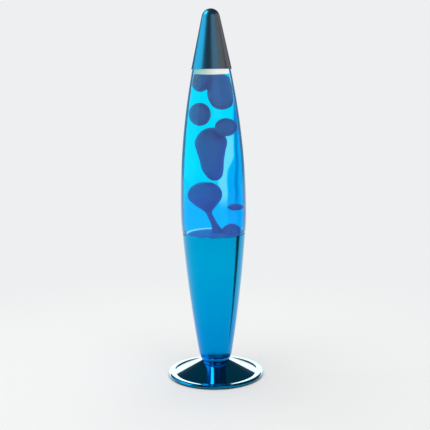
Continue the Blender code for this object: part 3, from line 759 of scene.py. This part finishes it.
class LAMP_OT_base(bpy.types.Operator):
    """Spin the base's cone, collar and foot"""

    bl_idname = "lamp.base"
    bl_label = "Base"

    def execute(self, context):
        self.cone()
        collar = [
            (9.0, 18.4), (16.1, 18.4), (16.5, 19.6), (17.2, 22.1), (17.1, 22.6), (16.0, 23.1),
            (15.9, 23.7), (9.0, 23.7),
        ]
        turned("neck_collar", collar, "base_plating", "base", "blue_anodised", corner=0.35)
        self.foot()
        return {"FINISHED"}

    def cone(self):
        """The upper cone, one wall thick, with its top edge rolled and its floor turned in."""
        wall = sizes().sheet / MM
        outside = run(base_radius, BASE_LOW + 1.0, RIM_Z, 40)
        inside = outside[:0:-1] - (wall, 0.0)
        floor_z = BASE_LOW + 1.2
        floor_r = base_radius(floor_z) - wall - 0.9
        floor = [(floor_r, floor_z), (BASE_HOLE_R, floor_z), (BASE_HOLE_R, BASE_LOW)]
        start = [(BASE_LOW_R - 0.9, BASE_LOW)]
        outline = np.vstack([start, outside, inside, floor, start])
        cone = spun("base_cone_turned", outline, "base_plating", corner=0.48, arc=6)
        settle(cone, "base", "blue_anodised", "base_cone")

    def foot(self):
        """The foot: a low cone that runs out into a rolled bead, with a notch for the cord outlet."""
        edge_r, top_z = half_width("foot_flange"), heights("foot_flange")[1]
        drop = 1.12  # the sheet's thickness, measured straight down
        crown = [(BASE_HOLE_R, top_z), (15.9, top_z), (16.6, 17.5), (46.0, 3.7)]
        bead = splined([
            crown[-1], (46.8, 4.05), (47.8, 4.32), (50.0, 4.42), (51.9, 4.40), (53.3, 3.95), (edge_r, 2.7),
        ], 36)[1:]
        under = [(53.7, 1.5), (52.6, 1.5), (52.6, 2.6), (51.6, 3.6), (49.8, 3.9), (48.0, 3.2)]
        inside = [(46.3, 3.7 - drop), (17.0, 17.2 - drop), (BASE_HOLE_R, top_z - drop)]
        outline = np.vstack([crown, bead, under, inside, crown[:1]])
        piece = spun("foot_turned", outline, "foot_plating", corner=0.4)
        low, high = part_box("cord_grommet")
        spare, inward, outward = 0.0003, 0.0004, 0.002
        x = np.array([low[0] - spare, high[0] + spare, high[0] + spare, low[0] - spare])
        y = np.array([low[1] - inward, low[1] - inward, high[1] + outward, high[1] + outward])
        cutter = skin("outlet_cutter", prism(x, y, -0.001, high[2] + spare), "foot_plating")
        cut = piece.modifiers.new("outlet", "BOOLEAN")
        cut.operation, cut.solver, cut.object = "DIFFERENCE", "EXACT", cutter
        apply_all(piece)
        bpy.data.objects.remove(cutter)
        piece.data.set_sharp_from_angle(angle=math.radians(38.0))
        settle(piece, "base", "blue_anodised", "foot_flange")


class LAMP_OT_underside(bpy.types.Operator):
    """Mould the cord outlet's grommet and the four rubber feet"""

    bl_idname = "lamp.underside"
    bl_label = "Underside"

    def execute(self, context):
        self.grommet()
        pad = [(0.0, 0.12), (2.6, 0.1), (3.7, 0.0), (4.3, 0.08), (4.5, 0.45), (4.5, 1.2), (0.0, 1.2)]
        for i in range(1, 5):
            turned(f"rubber_foot_{i}", pad, "soft_rubber", "base", "rubber", 64, 0.15)
        return {"FINISHED"}

    def grommet(self):
        """The outlet: a slot through a rounded block. Both outlines are superellipses,
        x = a |cos|^(2/n), z = b |sin|^(2/n), and rings of them run out, round the lips and back in."""
        low, high = (np.array(corner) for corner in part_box("cord_grommet"))
        centre, outer = (low + high) / 2.0, ((high - low) / 2.0)[[0, 2]]
        inner = outer - (0.0018, 0.00064)
        lip, steps = 0.0005, 96
        angle = np.arange(steps) * TAU / steps
        circle = np.stack([np.cos(angle), np.sin(angle)], axis=-1)
        block, slot = (np.sign(circle) * np.abs(circle) ** (2.0 / n) for n in (9.0, 5.0))
        bends = [
            (lip * (1.0 - np.sin(lean)), outer - lip * (1.0 - np.cos(lean)))
            for lean in np.linspace(0.0, np.pi / 2.0, 5)
        ]
        rows = [(low[1] + y, half, block) for y, half in bends[::-1]]
        rows += [(high[1] - y, half, block) for y, half in bends]
        rows += [
            (high[1], inner + 0.3 * lip, slot), (high[1] - 0.6 * lip, inner, slot),
            (low[1] + 0.6 * lip, inner, slot), (low[1], inner + 0.3 * lip, slot),
        ]
        grid = np.stack([
            np.stack([centre[0] + half[0] * x, np.full(steps, y), centre[2] + half[1] * z], axis=-1)
            for y, half, (x, z) in ((y, half, shape.T) for y, half, shape in rows)
        ])
        settle(skin("cord_outlet_grommet", grid, "soft_rubber", loop=True), "base", "rubber", "cord_grommet")


class LAMP_OT_fixing(bpy.types.Operator):
    """Cut the threaded tube, its nuts and its washer"""

    bl_idname = "lamp.fixing"
    bl_label = "Fixing"

    def execute(self, context):
        low, high = heights("threaded_tube")
        tube_r, bore_r, pitch, depth = 5.0, 3.3, 1.0, 0.22
        outside = straight(tube_r, np.linspace(low, high, 204))
        outline = np.vstack([[(bore_r, low)], outside, [(bore_r, high), (bore_r, low)]])

        def rolled(r, z, angle):
            """r - d (1 - thread) / 2, fading out at both ends."""
            fade = within(z, low, high, pitch) * (r > bore_r + 0.01)
            return r - fade * depth * (1.0 - thread(z, angle, pitch)) / 2.0

        piece = spun("threaded_tube_rolled", outline, "zinc_steel", facets=72, wave=rolled)
        settle(piece, "base", "steel", "threaded_tube")
        for node in ("lower_nut", "upper_nut"):
            self.nut(node)
        washer = [(5.3, 25.5), (7.6, 25.5), (7.6, 26.0), (5.3, 26.0)]
        turned("lock_washer", washer, "zinc_steel", "base", "steel", 96, 0.12)
        return {"FINISHED"}

    def nut(self, node):
        """A hexagon, half flats / cos(angle off the flat), whose corners both ends turn down at 30
        degrees."""
        low, high = heights(node)
        half_flats, hole_r, chamfer = 7.0, 5.3, 0.9
        z = np.concatenate([np.linspace(low, low + chamfer, 8), np.linspace(high - chamfer, high, 8)])
        outline = np.vstack([[(hole_r, low)], straight(half_flats, z), [(hole_r, high), (hole_r, low)]])

        def milled(r, z, angle):
            off_flat = (angle + math.pi / 6.0) % (math.pi / 3.0) - math.pi / 6.0
            turned_down = half_flats * 0.985 + np.minimum(z - low, high - z) * 1.73
            return np.where(r > hole_r + 0.01, np.minimum(half_flats / np.cos(off_flat), turned_down), r)

        piece = spun(f"{node}_milled", outline, "zinc_steel", facets=144, wave=milled, sharp=20.0)
        settle(piece, "base", "steel", node)


class LAMP_OT_holder(bpy.types.Operator):
    """Build the lampholder inside the base"""

    bl_idname = "lamp.holder"
    bl_label = "Lampholder"

    def execute(self, context):
        dome = [
            (5.3, 30.4), (8.6, 30.4), (11.8, 33.2), (13.2, 37.6), (13.2, 43.5), (12.0, 43.5),
            (12.0, 38.0), (10.9, 34.4), (8.2, 31.9), (5.3, 31.9),
        ]
        insulator = [(0.0, 38.8), (11.6, 38.8), (11.6, 43.4), (0.0, 43.4)]
        skirt = [(9.8, 43.9), (13.3, 43.9), (13.3, 64.2), (12.4, 66.8), (9.8, 66.8)]
        contact = [(0.0, 43.7), (3.2, 43.7), (3.2, 44.3), (1.7, 45.4), (0.0, 45.4)]
        screw = [(0.0, 36.4), (1.7, 36.4), (1.7, 37.9), (1.2, 38.4), (0.0, 38.5)]
        ceramic = (("dome", dome, 0.8), ("insulator", insulator, 0.4), ("skirt", skirt, 0.5))
        for part, outline, corner in ceramic:
            turned(f"holder_{part}", outline, "glazed_ceramic", "base", "white_ceramic", 128, corner)
        turned("centre_contact", contact, "brushed_brass", "base", "brass", 64, 0.3)
        for i in (1, 2):
            turned(f"terminal_screw_{i}", screw, "brushed_brass", "base", "brass", 48, 0.2)
        self.shell()
        return {"FINISHED"}

    def shell(self):
        """The rolled shell: both its walls follow the thread's wave, and flare out at its ends."""
        low, high = heights("holder_thread_shell")
        mean_r, depth, wall, entry_r = 7.005, 0.4, 0.5, 7.4
        inside = straight(mean_r, np.linspace(low, high, 150))
        flange_r = half_width("holder_thread_shell")
        collar = [(flange_r, low), (flange_r, low + 0.7), (entry_r + wall, low + 1.0)]
        outside = inside[8:-6] + (wall, 0.0)
        outline = np.vstack([inside[::-1], collar, outside, [(entry_r + wall, high)], inside[-1:]])
        pitch = sizes().screw_pitch / MM

        def rolled(r, z, angle):
            fade = within(z, 50.0, 63.5, 1.5)
            near = np.abs(r - (mean_r + wall / 2.0)) < 0.4
            flare = (entry_r - mean_r) * (1.0 - fade)
            return np.where(near, r + flare + depth * fade * thread(z, angle, pitch), r)

        piece = spun("holder_shell_rolled", outline, "brushed_brass", facets=96, wave=rolled, sharp=60.0)
        settle(piece, "base", "brass", "holder_thread_shell")


class LAMP_OT_bulb(bpy.types.Operator):
    """Blow the reflector bulb and roll its screw cap"""

    bl_idname = "lamp.bulb"
    bl_label = "Bulb"

    def execute(self, context):
        tip = [(0.0, 45.8), (1.6, 45.8), (2.4, 46.4), (2.4, 47.3), (0.0, 47.3)]
        turned("bulb_tip_contact", tip, "zinc_steel", "bulb_contact", "steel", 64, 0.4)
        insulator = [(0.0, 47.6), (2.6, 47.6), (5.6, 50.2), (5.6, 51.2), (0.0, 51.2)]
        turned("bulb_insulator", insulator, "black_glass_insulator", "bulb", "black_moulding", 96, 0.3)
        self.screw_cap()
        self.envelope()
        return {"FINISHED"}

    def envelope(self):
        """The blown glass: its inside is its outside moved by one wall along the normal."""
        neck = [(5.2, 58.0), (5.2, 63.0), (5.3, 67.0), (6.3, 71.0), (9.6, 76.0), (15.2, 83.5)]
        crown = [(18.6, 89.5), (19.5, 94.5), (18.5, 101.0), (15.0, 105.2), (8.5, 107.6), (0.0, 108.2)]
        wall = 0.8
        outside = splined(neck + crown, 90)
        outside[-1, 0] = 0.0
        way = np.gradient(outside, axis=0)
        way /= np.linalg.norm(way, axis=1, keepdims=True)
        inside = (outside - wall * np.stack([way[:, 1], -way[:, 0]], axis=1))[::-1]
        inside[0, 0] = 0.0
        piece = spun("bulb_glass_blown", np.vstack([inside, outside]), "bulb_envelope", facets=128)
        settle(piece, "bulb", "glass", "bulb_glass")

    def screw_cap(self):
        """The screw cap: r + depth times the thread's wave, between its plain ends."""
        low, high = heights("bulb_screw_cap")
        mean_r, bore_r, depth = 6.545, 5.5, 0.4
        z = np.linspace(low, high, 150)
        plain = np.where(z > 63.0, 6.2, np.where(z < 52.2, 6.1, mean_r))
        outside = np.stack([plain, z], axis=1)
        outline = np.vstack([[(bore_r, low)], outside, [(bore_r, high), (bore_r, low)]])
        pitch = sizes().screw_pitch / MM

        def rolled(r, z, angle):
            wave = depth * within(z, 52.4, 62.5, 1.0) * thread(z, angle, pitch)
            return np.where(r > bore_r + 0.1, r + wave, r)

        piece = spun("bulb_cap_rolled", outline, "zinc_steel", facets=96, wave=rolled, sharp=60.0)
        settle(piece, "bulb", "steel", "bulb_screw_cap")


class LAMP_OT_bottle(bpy.types.Operator):
    """Blow the bottle, crimp its crown and coil the wire on its floor"""

    bl_idname = "lamp.bottle"
    bl_label = "Bottle"

    def execute(self, context):
        self.glass()
        self.crown()
        liner = [(0.0, 365.9), (12.0, 365.9), (12.0, 366.5), (0.0, 366.5)]
        turned("crown_liner", liner, "liner_compound", "bottle", "rubber", 96, 0.15)
        self.wire()
        return {"FINISHED"}

    def wire(self):
        """One open turn of wire: x = r cos a, y = r sin a, at one height."""
        ring_r, wire_r = 0.017, 0.0008
        turns = np.radians(np.linspace(0.0, 350.0, 140))
        level = np.full_like(turns, sum(corner[2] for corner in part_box("wire_coil")) / 2.0)
        path = np.stack([ring_r * np.cos(turns), ring_r * np.sin(turns), level], axis=1)
        wire = skin("wire_coil_wound", carried(path, wire_r, 12), "coil_steel")
        settle(wire, "bottle", "steel", "wire_coil")

    def glass(self):
        """Seat, shoulder, long arc and neck outside, and the bore back down to a dished floor."""
        low, mouth_r = BOTTLE_LOW, 9.6
        heel = [(0.0, low + 0.8), (10.0, low + 0.6), (seat_radius(low) - 3.0, low)]
        seat = run(seat_radius, low + 3.0, SHOULDER_Z, 8)
        body = run(bottle_radius, SHOULDER_Z, CAP_LOW + 1.0, 42)
        neck = splined([body[-1], (17.6, 352.0), (14.1, 356.4), (13.2, 359.0)], 14)[1:]
        lip = [(13.2, 360.4), (13.7, 361.2), (13.7, BOTTLE_HIGH), (mouth_r, BOTTLE_HIGH), (mouth_r, 360.0)]
        bore_top = run(bore_radius, CAP_LOW, BORE_LOW_Z, 42)
        throat = splined([lip[-1], (10.6, 356.6), (14.4, 351.4), bore_top[0]], 12)[1:-1]
        floor_z = low + 4.0
        floor = [(float(bore_radius(137.0)), 137.0), (float(bore_radius(floor_z)) - 2.2, floor_z)]
        outside = np.vstack([heel, seat, body, neck, lip[:4]])
        inside = np.vstack([lip[4:], throat, bore_top, floor, [(0.0, floor_z)]])
        arc = 4
        rows = np.arange((len(outside) + len(inside)) * arc)
        piece = spun(
            "bottle_blown", np.vstack([outside, inside]), "bottle_glass_clear", "bottle_bore",
            corner=0.5, arc=arc, finish_rows=rows > (len(outside) - 1) * arc,
        )
        settle(piece, "bottle", "glass", "bottle_glass")

    def crown(self):
        """The crown closure: its skirt waves as pinch cos(n a), more towards its edge."""
        low, high = heights("crown_cap")
        flutes, pinch, skirt = sizes().flutes, 0.35, 4.2
        outside = splined([(15.2, low), (14.95, low + 2.0), (14.85, low + 3.9), (14.4, 366.3)], 20)
        top = [(13.6, 367.1), (12.6, high), (6.0, high - 0.05), (0.0, high)]
        inside = [(0.0, 366.8), (12.3, 366.8), (14.0, 365.9), (14.3, low + 3.7), (14.6, low)]

        def crimped(r, z, angle):
            depth = np.clip((low + skirt - z) / skirt, 0.0, 1.0) ** 0.7
            return r - pinch * depth * np.cos(flutes * angle)

        piece = spun(
            "crown_crimped", np.vstack([top[::-1], outside[::-1], inside[::-1]]), "gold_lacquered_tin",
            corner=0.25, arc=4, facets=10 * flutes, wave=crimped, sharp=50.0,
        )
        settle(piece, "bottle", "gold_crown", "crown_cap")


class LAMP_OT_liquid(bpy.types.Operator):
    """Fill the bottle with lit liquid"""

    bl_idname = "lamp.liquid"
    bl_label = "Liquid"

    def execute(self, context):
        """A thin bell just inside the bore: a clear skin outside, and the glow on its inner wall."""
        top, under = sizes().liquid_level / MM, sizes().liquid_level / MM - 0.2
        skin_gap, glow_gap = 0.08, 0.24
        outer = run(bore_radius, POOL_WALL_Z, top, 90) - (skin_gap, 0.0)
        inner = run(bore_radius, POOL_WALL_Z, under, 90) - (glow_gap, 0.0)
        outline = np.vstack([[(0.0, top)], outer[::-1], inner, [(0.0, under)]])
        glowing = np.arange(len(outline)) > len(outer)
        piece = spun("liquid_fill", outline, "liquid_skin", "liquid_glow", finish_rows=glowing)
        settle(piece, "bottle", "liquid", "liquid")
        return {"FINISHED"}


def at_wall(y, z, wide):
    """Where a round blob of that half width is centred, on X, when it lies against the glass."""
    return math.sqrt((float(bore_radius(z)) - 0.35 - wide) ** 2 - y**2)


def drop(x, y, top, low, wide, deep, rows=9):
    """Sections of a free blob: half width wide sin(a), at heights that follow cos(a)."""
    angle = np.linspace(0.0, np.pi, rows)
    height = top + (low - top) * (1.0 - np.cos(angle)) / 2.0
    same = np.ones(rows)
    swell = np.abs(np.sin(angle)) * (np.arange(rows) % (rows - 1) > 0)
    return np.stack([x * same, y * same, height, wide * swell, deep * swell], axis=1)


PEAR = [
    (-0.6, 10.0, 281.6, 0.0, 0.0), (-0.6, 10.0, 280.3, 7.0, 6.5), (-1.2, 10.0, 276.0, 13.0, 12.0),
    (-1.9, 8.0, 266.0, 18.2, 15.8), (-1.9, 6.0, 256.0, 16.3, 14.8), (-1.2, 4.0, 246.0, 13.9, 13.0),
    (-0.4, 2.0, 236.0, 12.4, 12.0), (1.2, 2.0, 228.5, 9.2, 9.4), (1.9, 2.0, 224.2, 5.0, 5.0),
    (1.9, 2.0, 223.0, 0.0, 0.0),
]
TOP_LEFT = [
    (-8.6, -1.0, 340.6, 0.0, 0.0), (-8.8, -1.0, 340.2, 10.0, 14.5), (-10.3, -1.0, 334.0, 10.3, 15.0),
    (-12.2, -1.0, 328.0, 9.3, 13.5), (-12.6, -1.0, 323.4, 6.4, 9.0), (-12.3, -1.0, 320.8, 0.0, 0.0),
]
TOP_RIGHT = [
    (5.4, 0.0, 340.6, 0.0, 0.0), (5.6, 0.0, 340.1, 7.6, 12.0), (6.6, 0.0, 337.0, 12.4, 15.0),
    (7.5, 0.0, 332.0, 13.2, 15.6), (8.6, 0.0, 324.0, 13.7, 15.6), (9.2, 0.0, 315.4, 14.2, 15.0),
    (10.9, 0.0, 306.5, 11.6, 11.8), (11.0, 0.0, 302.6, 6.6, 7.0), (11.0, 0.0, 301.2, 0.0, 0.0),
]
STALK = [
    (-8.6, 1.0, 221.4, 0.0, 0.0), (-8.6, 1.0, 220.7, 8.0, 7.4), (-9.0, 1.0, 216.6, 15.2, 13.0),
    (-9.3, 1.0, 210.0, 19.2, 15.8), (-9.4, 0.0, 203.5, 18.8, 15.6), (-8.6, 0.0, 197.0, 13.6, 12.0),
    (-6.2, 0.0, 189.5, 5.2, 5.2), (-2.2, 0.0, 180.5, 3.8, 3.8), (1.4, 0.0, 173.0, 4.3, 4.3),
    (3.9, 0.0, 167.0, 6.6, 6.6), (4.2, 0.0, 160.0, 9.0, 9.0), (4.2, 0.0, 150.0, 0.0, 0.0),
]
MOUND = [
    (20.0, -4.0, 175.2, 0.0, 0.0), (20.0, -4.0, 174.1, 5.2, 5.0), (19.9, -4.0, 170.0, 10.0, 9.4),
    (19.4, -4.0, 163.0, 10.6, 10.5), (18.4, -4.0, 152.0, 0.0, 0.0),
]


class LAMP_OT_wax(bpy.types.Operator):
    """Melt the wax: the settled pool with its rising stalk, and the blobs on their way"""

    bl_idname = "lamp.wax"
    bl_label = "Wax"

    def execute(self, context):
        blobs = {
            "wax_left": drop(-at_wall(2.0, 296.6, 12.5), 2.0, 309.3, 283.9, 12.5, 12.2),
            "wax_right": drop(at_wall(-5.0, 282.4, 12.4), -5.0, 292.4, 272.5, 12.4, 12.0),
            "wax_flat": drop(at_wall(-4.0, 193.8, 9.0), -4.0, 197.6, 190.0, 9.0, 9.0),
            "wax_pear": PEAR,
        }
        for node, sections in blobs.items():
            piece = skin(f"{node}_melted", lofted(sections, 72, 96), "melted_wax", sharp=180.0)
            settle(piece, "bottle", "wax", node)
        lobes = [self.loft("wax_top_melted", TOP_LEFT), self.loft("wax_top_right_lobe", TOP_RIGHT)]
        top = melted_together(lobes, "melted_wax", 0.0006, 10)
        settle(top, "bottle", "wax", "wax_top_left", "wax_top_right")
        self.pool()
        return {"FINISHED"}

    def loft(self, name, sections):
        """A blob that is about to run into another."""
        return skin(name, lofted(sections, 60, 72), "melted_wax")

    def pool(self):
        """The pool, stalk and mound run together: remeshed into one skin, then smoothed."""
        low, gap = heights("wax_pool")[0], 0.3
        wall = run(bore_radius, 137.0, POOL_WALL_Z, 14) - (gap, 0.0)
        heel = [(0.0, low), (float(bore_radius(low)) - gap - 1.6, low)]
        dome = [(0.93 * wall[-1][0], 164.0), (0.75 * wall[-1][0], 164.8), (0.0, 165.5)]
        outline = np.vstack([heel, wall, dome])
        pieces = [
            spun("wax_pool_melted", outline, "melted_wax", corner=1.2, facets=128),
            self.loft("wax_stalk_loft", STALK),
            self.loft("wax_mound_loft", MOUND),
        ]
        settle(melted_together(pieces, "melted_wax", 0.0007, 14), "bottle", "wax", "wax_pool")


class LAMP_OT_cap(bpy.types.Operator):
    """Spin the cap"""

    bl_idname = "lamp.cap"
    bl_label = "Cap"

    def execute(self, context):
        """A cone and a ball tip, one wall thick, with its lower edge rolled round."""
        wall = sizes().cap_sheet / MM
        middle, lean = CAP_HIGH - CAP_TIP_R, math.atan(CAP_SLOPE)
        arc = np.linspace(lean, np.pi / 2.0, 28)
        cone = run(cap_radius, CAP_LOW, middle + CAP_TIP_R * math.sin(lean), 24)[:-1]
        ball, inner_ball = (
            np.stack([r * np.cos(arc), middle + r * np.sin(arc)], axis=1)
            for r in (CAP_TIP_R, CAP_TIP_R - wall)
        )
        ball[-1, 0] = inner_ball[-1, 0] = 0.0
        inner_cone = cone[::-1] - (wall * 1.02, 0.0)
        outline = np.vstack([inner_ball[::-1], inner_cone, cone, ball])
        settle(spun("cap_spun", outline, "cap_plating", corner=0.3), "cap", "dark_chrome", "cap")
        return {"FINISHED"}


class LAMP_OT_stage(bpy.types.Operator):
    """Set the floor, the soft boxes and the camera"""

    bl_idname = "lamp.stage"
    bl_label = "Stage"

    def execute(self, context):
        studio = context.scene.lamp_studio
        lamp = [piece.name for piece in bpy.data.objects if piece.type == "MESH"]
        base, cap = ["base_cone_turned", "neck_collar_turned"], ["cap_spun"]
        self.board()
        self.air()
        white, warm = (1.0, 1.0, 1.0), (1.0, 0.38, 0.24)
        cyan, pale_cyan = (0.10, 0.85, 1.0), (0.10, 0.90, 1.0)
        for name, place, aim, size, power, tint, reaches in (
            ("back", (0.0, 2.5, 0.505), (0.0, 0.0, 0.505), (5.0, 1.01), studio.back, white, ["foot_turned"]),
            ("left", (-1.0, 0.13, 0.66), (0.0, 0.13, 0.30), (1.42, 1.1), studio.key, cyan, lamp),
            ("front", (-0.85, -1.15, 2.0), (0.0, 0.0, 0.05), (0.7, 0.9), studio.front, white, base),
            ("tip", (-0.75, 0.19, 1.32), (0.0, 0.0, 0.40), (0.7, 0.5), studio.tip, pale_cyan, cap),
            ("right", (1.2, 0.1, 0.7), (0.0, 0.1, 0.36), (2.6, 1.0), studio.warm, warm, cap),
            ("fill", (0.75, -1.75, 1.3), (0.0, 0.0, 0.30), (1.5, 1.2), studio.fill, white, None),
            ("wash", (-0.4, 0.5, 2.4), (-0.4, 0.5, 0.0), (4.4, 5.0), studio.wash, white, ["studio_board"]),
        ):
            self.soft_box(f"soft_box_{name}", place, aim, size, power, tint, reaches)
        self.flag()
        self.camera(studio)
        return {"FINISHED"}

    def board(self):
        """A thin round board that the lamp stands on."""
        reach, thick, steps = 3.0, 0.004, 40
        floor_finish(0.14, 0.60)
        rings = np.linspace(0.0, reach, steps)
        under, over = straight(-thick, rings)[:, ::-1], straight(0.0, rings)[::-1, ::-1]
        skin("studio_board", around(np.vstack([under, over]), 96), "studio_floor")

    def soft_box(self, name, place, aim, size, power, tint, reaches):
        """A rectangle of light that no camera sees. It may reach only some of the pieces."""
        light = bpy.data.lights.new(name, "AREA")
        light.shape, light.size, light.size_y = "RECTANGLE", *size
        light.energy, light.color = power, tint
        made = bpy.data.objects.new(name, light)
        bpy.context.scene.collection.objects.link(made)
        made.location = place
        made.rotation_euler = (Vector(aim) - Vector(place)).to_track_quat("-Z", "Y").to_euler()
        made.visible_camera = False
        if reaches:
            lit = bpy.data.collections.new(f"{name}_reaches")
            for piece in reaches:
                lit.objects.link(bpy.data.objects[piece])
            made.light_linking.receiver_collection = lit

    def flag(self):
        """A black flag on the right: a thin wedge that points at the lamp and shows only in its
        polish."""
        near, far, high, spread = 0.085, 0.70, 0.5, math.tan(math.radians(0.5))
        flag_finish()
        x = np.array([near, far, far, near])
        y = np.array([-near, -far, far, near]) * spread
        flag = skin("studio_flag", prism(x, y, 0.0, high), "black_felt")
        for ray in ("camera", "diffuse", "shadow", "transmission", "volume_scatter"):
            setattr(flag, f"visible_{ray}", False)

    def air(self):
        """Pale to the camera, and dim to everything that it lights."""
        paint = Paint("studio_air", "worlds", "ShaderNodeOutputWorld")
        dim, pale = (
            paint.node("ShaderNodeBackground", inputs={"Color": flat(tint), "Strength": strength})
            for tint, strength in (((0.86, 0.92, 1.0), 0.10), ((0.90, 0.91, 0.92), 0.95))
        )
        seen = paint.node("ShaderNodeLightPath", out="Is Camera Ray")
        bpy.context.scene.world = paint.done(paint.layered(seen, dim, pale))

    def camera(self, studio):
        """The camera, before the lamp and looking slightly down on it."""
        lens = bpy.data.cameras.new("studio_camera")
        lens.lens, lens.sensor_width = studio.lens, 36.0
        lens.clip_start, lens.clip_end = 0.01, 50.0
        made = bpy.data.objects.new("studio_camera", lens)
        bpy.context.scene.collection.objects.link(made)
        made.matrix_world = (
            Matrix.Translation((0.0, -studio.distance, studio.height))
            @ Matrix.Rotation(-studio.turn, 4, "Z")
            @ Matrix.Rotation(math.pi / 2.0 - studio.tilt, 4, "X")
            @ Matrix.Rotation(-studio.roll, 4, "Z")
        )
        bpy.context.scene.camera = made
        bpy.context.scene.view_settings.view_transform = "Standard"


class LAMP_PT_panel(bpy.types.Panel):
    """The lamp's sizes, colours and pieces"""

    bl_idname = "LAMP_PT_panel"
    bl_label = "Lava Lamp"
    bl_space_type = "VIEW_3D"
    bl_region_type = "UI"
    bl_category = "Lava Lamp"

    def draw(self, context):
        for group in GROUPS:
            settings = getattr(context.scene, group)
            for key in settings.__annotations__:
                self.layout.prop(settings, key)
        for operator in OPERATORS:
            self.layout.operator(operator.bl_idname)


GROUPS = {"lamp_sizes": LampSizes, "lamp_colours": LampColours, "lamp_studio": LampStudio}
OPERATORS = (
    LAMP_OT_finishes, LAMP_OT_base, LAMP_OT_underside, LAMP_OT_fixing, LAMP_OT_holder, LAMP_OT_bulb,
    LAMP_OT_bottle, LAMP_OT_liquid, LAMP_OT_wax, LAMP_OT_cap, LAMP_OT_stage,
)


def register():
    for kind in (*GROUPS.values(), *OPERATORS, LAMP_PT_panel):
        bpy.utils.register_class(kind)
    for name, kind in GROUPS.items():
        setattr(bpy.types.Scene, name, PointerProperty(type=kind))


def unregister():
    for name in GROUPS:
        delattr(bpy.types.Scene, name)
    for kind in reversed((*GROUPS.values(), *OPERATORS, LAMP_PT_panel)):
        bpy.utils.unregister_class(kind)


def main():
    register()
    for operator in OPERATORS:
        group, name = operator.bl_idname.split(".")
        getattr(getattr(bpy.ops, group), name)()


if __name__ == "__main__":
    main()
